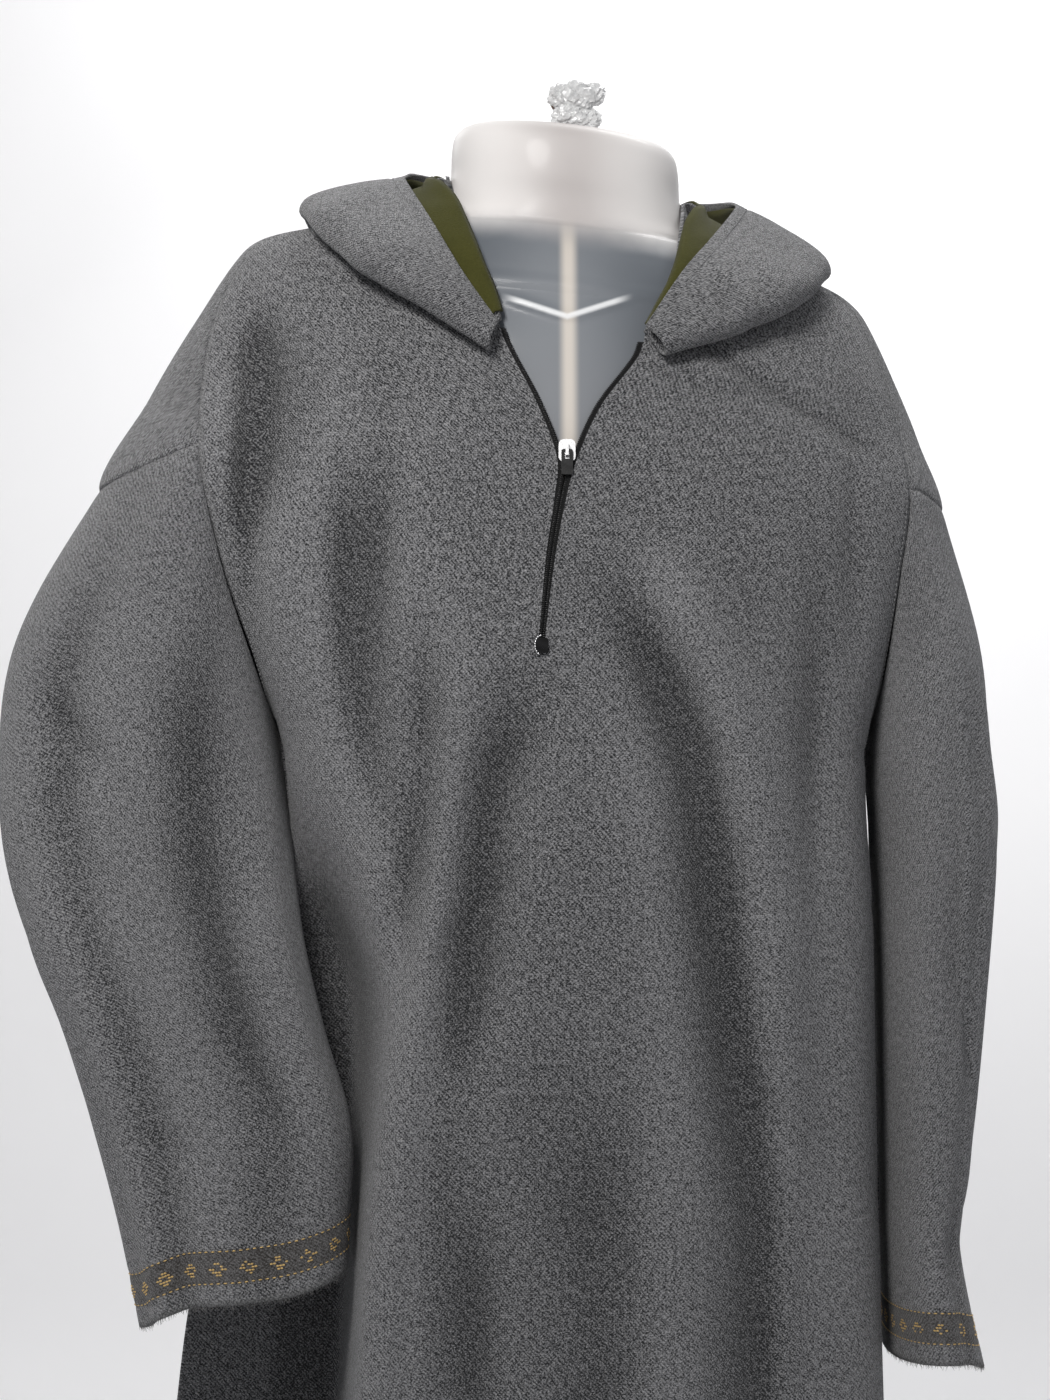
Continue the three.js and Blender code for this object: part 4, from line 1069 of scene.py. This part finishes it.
SLEEVE_CREASES = {
    # angle round, share down the sleeve, half angle, half share, slant, depth
    "left": (
        (118, 0.58, 15, 0.30, 0, 11.0),
        (150, 0.52, 9, 0.30, 0, -3.0),
        (64, 0.30, 30, 0.035, 0.004, 3.0),
        (36, 0.46, 34, 0.03, -0.003, 2.2),
        (92, 0.58, 26, 0.03, 0.005, 2.4),
        (60, 0.80, 40, 0.02, 0.001, 1.6),
        (300, 0.45, 34, 0.04, 0.003, 3.0),
        (260, 0.65, 30, 0.035, -0.004, 2.4),
    ),
    "right": (
        (88, 0.50, 12, 0.30, 0, 4.0),
        (40, 0.40, 26, 0.03, 0.004, 2.2),
        (70, 0.62, 24, 0.03, -0.004, 2.4),
        (20, 0.78, 34, 0.018, 0.002, 2.2),
        (300, 0.50, 30, 0.03, 0.004, 2.4),
    ),
}


def sleeve_points(hand):
    angles = np.concatenate(
        [
            np.linspace(0, CORNER, 25)[:-1],
            np.linspace(CORNER, 180, 33)[:-1],
            np.linspace(180, 360 - CORNER, 33)[:-1],
            np.linspace(360 - CORNER, 360, 25)[:-1],
        ]
    )
    down = np.linspace(0, 1, 131)
    grid = sleeve_grid(hand, down, angles)
    length = runs(grid, 0)
    from_top = length
    from_cuff = length[-1:] - length
    closed = np.concatenate([grid, grid[:, :1]], 1)
    around = runs(closed, 1)
    deg = angles[None, :] + 0 * from_top
    share = down[:, None] + 0 * from_top
    soft = np.zeros_like(from_top)
    for at, where, wide, tall, slant, deep in SLEEVE_CREASES[hand]:
        off = (deg - at + 540) % 360 - 180
        soft += deep * np.exp(-((off / wide) ** 2) - (((share - where) - slant * off) / tall) ** 2)
    depth = seam_turn(from_top) + soft + 0.55 * cloud(grid, 24, 12) + 0.25 * cloud(grid, 9, 13)
    depth = depth * np.minimum(1, 0.3 + from_top / 25)
    band = np.exp(-(((from_cuff - BAND_LOW) / 2.2) ** 2)) + np.exp(-(((from_cuff - BAND_HIGH) / 2.2) ** 2))
    depth = depth + 0.5 * band
    uv = np.stack([around, np.concatenate([from_cuff, from_cuff[:, :1]], 1)], -1)
    return drop_in(f"sleeve_{hand}", grid, depth, wrap=True), uv


def build_front(context):
    grid, uv, keep = front_points()
    piece = cloth(
        "front_cloth",
        grid,
        wool_finish("wool_front"),
        uv=uv,
        fold_shade=painted_fold_shade("front", grid),
        keep=keep,
        flip=True,
    )
    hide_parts("front")


def build_back(context):
    grid, uv, keep = back_points()
    fold_shade = painted_fold_shade("back", grid)
    piece = cloth("back_cloth", grid, wool_finish("wool_back"), uv=uv, fold_shade=fold_shade, keep=keep)
    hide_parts("back")


def build_sleeves(context):
    finish = wool_finish("wool_sleeves", band=True)
    for hand in ("left", "right"):
        grid, uv = sleeve_points(hand)
        name = f"sleeve_cloth_{hand}"
        fold_shade = painted_fold_shade(f"sleeve_{hand}", grid, wrap=True)
        piece = cloth(name, grid, finish, uv=uv, fold_shade=fold_shade, wrap=True, flip=hand == "left")
        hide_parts(f"sleeve_{hand}")


HOOD_CREASES = {
    # share along the neck, share up the hood, half sizes, slant, depth
    "left": (
        (0.33, 0.66, 0.030, 0.16, 0.15, 2.8),
        (0.22, 0.70, 0.022, 0.15, -0.10, 2.0),
        (0.44, 0.62, 0.030, 0.14, 0.05, 2.2),
    ),
    "right": (
        (0.24, 0.62, 0.030, 0.15, 0.25, 4.0),
        (0.15, 0.66, 0.022, 0.13, 0.12, 2.8),
        (0.38, 0.66, 0.035, 0.16, -0.15, 2.6),
    ),
}


def hood_points(hand):
    along = np.linspace(0, 1, 97)
    shares = np.concatenate([np.linspace(0, 0.45, 37), np.linspace(0.45, 1, 37)[1:]])
    grid = hood_grid(hand, along, shares)
    depth = 0.5 * cloud(grid, 16, 21) + 0.25 * cloud(grid, 7, 22)
    a, b = np.meshgrid(along, shares, indexing="ij")
    for at, up, long, tall, slant, deep in HOOD_CREASES[hand]:
        depth += deep * np.exp(-(((a - at - slant * (b - up)) / long) ** 2) - ((b - up) / tall) ** 2)
    from_edge = runs(grid[:, ::-1], 1)[:, ::-1]
    depth = depth * np.minimum(1, from_edge / 8) + 0.9 * np.exp(-(((from_edge - HEM_STITCH) / 1.5) ** 2))
    return drop_in(f"hood_{hand}", grid, depth)


def build_hood(context):
    wool, fleece = wool_finish("wool_hood"), fleece_finish()
    for hand in ("left", "right"):
        grid = hood_points(hand)
        uv = np.stack([runs(grid, 0), runs(grid, 1)], -1)
        flip = hand == "right"
        # painted fold shade on the hood, at half strength
        fold_shade = painted_fold_shade(f"hood_{hand}", grid) * 0.5
        shell = cloth(f"hood_cloth_{hand}", grid, wool, uv=uv, fold_shade=fold_shade, flip=flip)
        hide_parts(f"hood_{hand}")
        inner = drop_in(f"hood_{hand}", grid, np.full(grid.shape[:2], WOOL + 2 * SEAM))
        edge_in = inner[4:, :-1]
        lined = cloth(
            f"hood_fleece_{hand}", edge_in, fleece, uv=uv[4:, :-1], flip=flip, wall=FLEECE
        )
        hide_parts(f"hood_lining_{hand}", f"collar_lining_{hand}")


def build_stitching(context):
    grey = thread_finish("grey_thread", (0.13, 0.13, 0.135), (0.34, 0.34, 0.345))
    stitch = context.scene.pheran_cloth.stitch / MM
    lines = []
    for hand in ("left", "right"):
        lines.append(rim(f"hood_{hand}", hood_points(hand), "right", HEM_STITCH))
    grid, _, _ = front_points()
    half = grid.shape[1] // 2
    rows = rows_of(FINE)[0]
    use = (rows < -118) & (rows > UNDERARM)
    for part, edge in ((grid[:, :half], "left"), (grid[:, half:], "right")):
        points, normals = rim("front", part, edge, 3.4)
        lines.append((points[use], normals[use]))
    zip_rows = (rows < SLIT_TOP) & (rows > ZIP_END)
    for part, edge in ((grid[:, :half], "right"), (grid[:, half:], "left")):
        points, normals = rim("front", part, edge, 2.2)
        lines.append((points[zip_rows], normals[zip_rows]))
    threads("topstitching", lines, grey, length=stitch, gap=0.9, thick=0.95, proud=0.25)


CELL = 1.9  # size of one gold thread in the cuff's pattern
PATTERN_RISE = 5.5  # lowest thread of the pattern, above the lower line
LOZENGE_GAP = 4  # threads left out between two lozenges
LOZENGE = (
    "..##..",
    ".####.",
    "##..##",
    ".####.",
    "..##..",
)


def build_cuff_bands(context):
    gold = tuple(context.scene.pheran_cloth.gold)
    metal = thread_finish("gold_thread", tuple(c * 0.45 for c in gold), gold, rough=0.36, metal=0.3)
    draw = random.Random(3)
    for hand in ("left", "right"):
        piece = f"sleeve_{hand}"
        grid, _ = sleeve_points(hand)
        closed = np.concatenate([grid, grid[:, :1]], 1)
        shift = 2 if hand == "right" else 0
        lines = [rim(piece, closed, "bottom", high) for high in (BAND_LOW, BAND_HIGH)]
        threads(f"cuff_lines_{hand}", lines, metal, length=2.6, gap=2.0, thick=1.0, proud=0.3)
        bm = bmesh.new()
        low = BAND_LOW + PATTERN_RISE
        for r, pattern in enumerate(LOZENGE):
            at, along, up = evenly(*rim(piece, closed, "bottom", low + r * CELL), CELL * 1.06)
            for i, (p, a, n) in enumerate(zip(at, along, up)):
                worn = 0.55 + 0.43 * (0.5 + 0.5 * math.sin(i * 0.045 + r * 0.3 + shift))
                k = i % (len(pattern) + LOZENGE_GAP)
                if k >= len(pattern) or pattern[k] == "." or draw.random() > worn:
                    continue
                size = Matrix.Diagonal((CELL * 0.56 * MM, 0.72 * MM, 0.4 * MM, 1))
                bmesh.ops.create_uvsphere(
                    bm, u_segments=6, v_segments=4, radius=1, matrix=basis(p + n * 0.2, a, n) @ size @ POLE_X
                )
        for face in bm.faces:
            face.smooth = True
        finished(f"cuff_pattern_{hand}", bm, metal)


def build_frayed_edges(context):
    """Loose fibres at the cuffs' raw edges."""
    fibre = thread_finish("loose_fibre", (0.13, 0.13, 0.13), (0.34, 0.33, 0.32), rough=1.0)
    draw = random.Random(11)
    for hand in ("left", "right"):
        piece = f"sleeve_{hand}"
        grid, _ = sleeve_points(hand)
        closed = np.concatenate([grid, grid[:, :1]], 1)
        points, normals = rim(piece, closed, "bottom", 0.2)
        above, _ = rim(piece, closed, "bottom", 6.0)
        bm = bmesh.new()
        at, along, up = evenly(points, normals, 0.85)
        higher, _, _ = evenly(above, normals, 0.85)
        for i in range(min(len(at), len(higher))):
            down = at[i] - higher[i]
            down = down / np.linalg.norm(down)
            side = along[i] / np.linalg.norm(along[i])
            lean = down + side * draw.uniform(-0.7, 0.7) + up[i] * draw.uniform(-0.5, 0.3)
            long = draw.uniform(1.2, 4.6)
            spot = basis(at[i] - up[i] * draw.uniform(0.2, 1.8) + lean * long * 0.4, lean, up[i])
            bmesh.ops.create_cone(
                bm, segments=3, radius1=0.22 * MM, radius2=0.05 * MM, depth=long * MM, matrix=spot @ POLE_X
            )
        finished(f"frayed_edge_{hand}", bm, fibre)


TOOTH_PITCH = 1.35


def tape_points(hand):
    sign = -1 if hand == "left" else 1
    h = np.linspace(SLIT_TOP, ZIP_END, 150)
    edge = slit_reach(h, hand)
    middle = (slit_reach(h, "right") - slit_reach(h, "left")) / 2
    inner = np.maximum(edge - 3.6, sign * middle + 0.3)
    t = np.linspace(0, 1, 12)
    x = sign * lerp((edge + 6)[:, None], inner[:, None], t[None, :])
    grid = on_body(x, h[:, None] + 0 * x, -1)
    n = normals_of(grid) * sign * -1
    return grid, n


def build_zip(context):
    tape_black = black_finish("zip_tape", 0.85, 5200)
    coil_black = black_finish("zip_coil", 0.35, 3000)
    for hand in ("left", "right"):
        sign = -1 if hand == "left" else 1
        grid, n = tape_points(hand)
        out = np.where(n[..., 1:2] > 0, -n, n)
        sunk = grid - out * (WOOL + SEAM)
        uv = np.stack([runs(sunk, 1), runs(sunk, 0)], -1)
        piece = cloth(
            f"zip_tape_cloth_{hand}", sunk, tape_black, uv=uv, flip=sign > 0, wall=TAPE
        )
        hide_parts(f"zip_tape_{hand}")
        line, up = sunk[:, -1], out[:, -1]
        inward = sunk[:, -1] - sunk[:, -4]
        inward = inward / np.linalg.norm(inward, axis=1, keepdims=True)
        bm = bmesh.new()
        at, _, face_out = evenly(line - inward, up, TOOTH_PITCH)
        _, _, across = evenly(line, inward, TOOTH_PITCH)
        for p, o, s in zip(at, face_out, across):
            size = Matrix.Diagonal((1.7 * MM, 0.52 * MM, 0.75 * MM, 1))
            bmesh.ops.create_uvsphere(
                bm, u_segments=6, v_segments=5, radius=1, matrix=basis(p + o * 0.75, s, o) @ size @ POLE_X
            )
        for face in bm.faces:
            face.smooth = True
        finished(f"zip_coil_{hand}", bm, coil_black)
    metal = metal_finish()
    low, high = (Vector(corner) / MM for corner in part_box("zip_stop"))
    centre = (low + high) / 2
    turn = np.radians(np.linspace(95, 250, 14))
    x, z = centre.x + 4.6 * np.cos(turn), centre.z + 6.5 * np.sin(turn)
    loop = np.stack([x, np.full_like(turn, low.y), z], -1)
    out = np.tile([0.0, -1.0, 0.0], (len(turn), 1))
    threads("stop_loop", [(loop, out)], metal, length=2.4, gap=-0.8, thick=1.1, proud=0.2)
    enamel = black_finish("pull_enamel", 0.3, 800)
    for node, finish in (("slider", metal), ("zip_stop", enamel), ("pull", enamel)):
        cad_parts[node].data.materials.clear()
        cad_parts[node].data.materials.append(finish)


def build_form(context):
    """The torso form: rings from its foot up over the shoulders to the neck's rounded top."""
    trunk = columns(FORM_TRUNK)
    neck = {name: column(FORM_NECK, name) for name in ("reach", "deep")}
    deg = np.radians(np.linspace(0, 360, 161))
    c, s = np.cos(deg), np.sin(deg)
    rings = []

    def ring(h, left, right, front, back, power):
        turn = lambda v: np.sign(v) * np.abs(v) ** (2 / power)
        x = turn(c) * np.where(c < 0, left, right)
        y = turn(s) * np.where(s < 0, front, back)
        rings.append(place(x, y, np.full_like(x, h)))

    for h in np.concatenate([np.linspace(-505, -210, 40), np.linspace(-208, -149, 46)]):
        ring(h, *(trunk[name](h) for name in ("left", "right", "front", "back", "power")))
    for h in np.linspace(-146, -100, 24):
        up = h + FORM_DROP
        left = min(float(body["left"](up)) - FORM_INSET, 192)
        right = min(float(body["right"](up)) - FORM_INSET, 180)
        share = ease((h + 148) / 12)
        front = lerp(float(trunk["front"](h)), float(body["front"](up)) - FORM_INSET, share)
        back = lerp(float(trunk["back"](h)), float(body["back"](up)) - FORM_INSET, share)
        ring(h, left, right, front, back, float(body["power"](up)))
    for h in np.concatenate([np.linspace(-97, -34, 26), np.linspace(-33, -26, 10)]):
        ring(h, *(float(neck[name](h)) for name in ("reach", "reach", "deep", "deep")), 2.1)
    grid = np.array(rings)
    x, z = grid[..., 0], grid[..., 2]
    ridge = np.exp(-(((z - RIDGE_FOOT / MM - 0.34 * np.abs(x)) / 3.2) ** 2)) * ease((48 - np.abs(x)) / 18)
    grid[..., 1] -= np.where(grid[..., 1] < 0, 2.6 * ridge, 0)
    bm = bmesh.new()
    nv, nu = grid.shape[:2]
    bmesh.ops.create_grid(bm, x_segments=nu - 1, y_segments=nv - 1, size=1.0)
    for vert in bm.verts:
        u = round((vert.co.x + 1) / 2 * (nu - 1))
        v = round((vert.co.y + 1) / 2 * (nv - 1))
        vert.co = grid[v, u] * MM
    bmesh.ops.remove_doubles(bm, verts=bm.verts, dist=0.02 * MM)
    bmesh.ops.holes_fill(bm, edges=bm.edges)
    bmesh.ops.recalc_face_normals(bm, faces=bm.faces)
    for face in bm.faces:
        face.smooth = len(face.verts) < 5
    piece = finished("torso_form", bm, plastic_finish())
    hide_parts("form")


def build_hook(context):
    """Clear film crumpled round the hook, over the rusty eye and shank."""
    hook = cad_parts["hook"]
    hook.data.materials.clear()
    hook.data.materials.append(rust_finish())
    film = film_finish()
    draw = random.Random(5)
    lumps = (
        (8, -7, 0, 15, 8, 11),
        (3, -7, -13, 12, 7, 9),
        (14, -6, -15, 11, 7, 8),
        (20, -4, 3, 8, 6, 8),
        (-3, -7, 1, 9, 7, 9),
        (-13, -9, -23, 14, 3, 3.5),
        (24, -9, -28, 14, 3, 3),
    )
    bm = bmesh.new()
    for x, y, z, wide, deep, tall in lumps:
        made = bmesh.ops.create_icosphere(bm, subdivisions=4, radius=1.0)
        phase = [draw.uniform(0, 6.28) for _ in range(6)]
        for vert in made["verts"]:
            d = vert.co.normalized()
            crumple = 0.0
            for k, p in enumerate(phase):
                way = Vector((math.sin(p * 3), math.cos(p * 2), math.sin(p + k)))
                crumple += abs(math.sin(d.dot(way) * (4 + 2 * k) + p)) / (2 + k)
            r = 0.55 + 0.42 * crumple
            vert.co = Vector((x + d.x * wide * r, y + d.y * deep * r, z + d.z * tall * r)) * MM
    bmesh.ops.recalc_face_normals(bm, faces=bm.faces)
    piece = finished("film_knot", bm, film)
    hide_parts("hook_wrap")


# ---- stage -------------------------------------------------------------------------------------
VIEW_X, VIEW_Y, VIEW_Z = -0.028, -1.8, -0.42
VIEW_TALL = 0.98  # height of the view in the garment's own plane
FLOOR_Z = -1.9
WALL_Y = 2.5
HALF_WIDE = 6.0  # half the backdrop's width
SWEEP = 0.5  # radius of the bend from the floor to the wall
SENSOR = 36.0


def backdrop():
    """A pale floor that sweeps up into a wall."""
    bm = bmesh.new()
    verts = [bm.verts.new((-HALF_WIDE, y, FLOOR_Z)) for y in (-5, WALL_Y - SWEEP)]
    for a in np.linspace(0, math.pi / 2, 14)[1:]:
        y, z = WALL_Y - SWEEP + SWEEP * math.sin(a), FLOOR_Z + SWEEP * (1 - math.cos(a))
        verts.append(bm.verts.new((-HALF_WIDE, y, z)))
    verts.append(bm.verts.new((-HALF_WIDE, WALL_Y, 4.0)))
    edges = [bm.edges.new(pair) for pair in zip(verts, verts[1:])]
    swept = bmesh.ops.extrude_edge_only(bm, edges=edges)
    moved = [v for v in swept["geom"] if isinstance(v, bmesh.types.BMVert)]
    bmesh.ops.translate(bm, verts=moved, vec=(2 * HALF_WIDE, 0, 0))
    bmesh.ops.recalc_face_normals(bm, faces=bm.faces)
    for face in bm.faces:
        face.smooth = True
    mesh = bpy.data.meshes.new("backdrop")
    bm.to_mesh(mesh)
    bm.free()
    sweep = bpy.data.objects.new("backdrop", mesh)
    bpy.context.scene.collection.objects.link(sweep)
    f = Finish("studio_paper", roughness=0.9)
    speck = f.noise(f.coordinates("Object"), 3, 2, 0.5)
    _, _, z = f.apart(f.coordinates("Object"))
    wall = f.blend(speck, (0.86, 0.855, 0.86), (0.90, 0.895, 0.90))
    paper = f.blend(z.between(FLOOR_Z, FLOOR_Z + 0.4), (0.74, 0.74, 0.75), wall)
    mesh.materials.append(f.done(base_color=paper, emission_color=paper))
    f.shader.inputs["Emission Strength"].default_value = 0.1
    sweep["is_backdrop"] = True


def light(name, where, target, size, power, colour):
    data = bpy.data.lights.new(name, "AREA")
    data.shape, data.size, data.energy, data.color = "DISK", size, power, colour
    lamp = bpy.data.objects.new(name, data)
    lamp.location = where
    lamp.rotation_euler = (Vector(target) - Vector(where)).to_track_quat("-Z", "Y").to_euler()
    bpy.context.scene.collection.objects.link(lamp)


def build_stage(context):
    scene = context.scene
    camera = bpy.data.objects.new("camera", bpy.data.cameras.new("camera"))
    camera.location = (VIEW_X, VIEW_Y, VIEW_Z)
    camera.rotation_euler = (math.pi / 2, 0, 0)
    camera.data.sensor_width = SENSOR
    camera.data.lens = SENSOR * -VIEW_Y / VIEW_TALL
    scene.collection.objects.link(camera)
    scene.camera = camera
    backdrop()
    stage = scene.pheran_stage
    light("key", (-0.42, -1.28, 0.45), (0.05, 0, -0.38), 0.45, stage.key, (1.0, 0.985, 0.965))
    light("fill", (1.5, -1.5, 0.5), (0, 0, -0.4), 1.2, stage.fill, (0.95, 0.97, 1.0))
    light("wall", (0.7, 0.9, 1.7), (0.3, WALL_Y, 0.1), 1.4, stage.wall, (1.0, 1.0, 1.0))
    light("back", (-1.3, 1.5, 0.9), (0, 0, -0.5), 1.0, stage.back, (1.0, 1.0, 1.0))
    world = bpy.data.worlds.new("surround")
    world.use_nodes = True
    world.node_tree.nodes["Background"].inputs[0].default_value = (0.96, 0.97, 1.0, 1)
    world.node_tree.nodes["Background"].inputs[1].default_value = stage.sky
    scene.world = world
    scene.view_settings.view_transform = "Standard"


def operator(name, label, text, build):
    """An operator class that runs one builder."""

    def execute(self, context):
        build(context)
        return {"FINISHED"}

    members = {"bl_idname": f"pheran.{name}", "bl_label": label, "__doc__": text, "execute": execute}
    return type(f"PHERAN_OT_{name}", (bpy.types.Operator,), members)


STEPS = (
    operator("stage", "Stage", "Camera, lights and backdrop", build_stage),
    operator("form", "Torso form", "The plastic form that the garment hangs on", build_form),
    operator("hook", "Hook and film", "The hook in the form's neck and the film round it", build_hook),
    operator("front", "Front", "The front panel", build_front),
    operator("back", "Back", "The back panel", build_back),
    operator("sleeves", "Sleeves", "Both wide sleeves", build_sleeves),
    operator("hood", "Hood", "Both halves of the hood with their lining", build_hood),
    operator("zip", "Zip", "Tapes, coil teeth, slider, pull and stop", build_zip),
    operator("stitching", "Topstitching", "Rows of stitches along the seams", build_stitching),
    operator("cuff_bands", "Cuff bands", "Woven gold bands round the cuffs", build_cuff_bands),
    operator("frayed_edges", "Frayed edges", "Loose fibres at the cuffs", build_frayed_edges),
)


class PHERAN_PT_sidebar(bpy.types.Panel):
    """Lists the pheran's pieces and settings."""

    bl_label = "Hooded pheran"
    bl_idname = "PHERAN_PT_sidebar"
    bl_space_type = "VIEW_3D"
    bl_region_type = "UI"
    bl_category = "Pheran"

    def draw(self, context):
        for group in ("pheran_cloth", "pheran_form", "pheran_stage"):
            settings = getattr(context.scene, group)
            for name in settings.__annotations__:
                self.layout.prop(settings, name)
        for step in STEPS:
            self.layout.operator(step.bl_idname)


GROUPS = {
    "pheran_cloth": PheranClothSettings,
    "pheran_form": PheranFormSettings,
    "pheran_stage": PheranStageSettings,
}


def register():
    for cls in (*GROUPS.values(), *STEPS, PHERAN_PT_sidebar):
        bpy.utils.register_class(cls)
    for name, cls in GROUPS.items():
        setattr(bpy.types.Scene, name, PointerProperty(type=cls))


def unregister():
    for name in GROUPS:
        delattr(bpy.types.Scene, name)
    for cls in (PHERAN_PT_sidebar, *reversed(STEPS), *reversed(GROUPS.values())):
        bpy.utils.unregister_class(cls)


def plain(box):
    return [[float(v) for v in corner] for corner in box]


def main():
    register()
    for step in STEPS:
        getattr(bpy.ops.pheran, step.bl_idname.split(".")[1])()
    {"cad": plain(CAD_BOX), "visual": plain(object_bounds())}


if __name__ == "__main__":
    main()
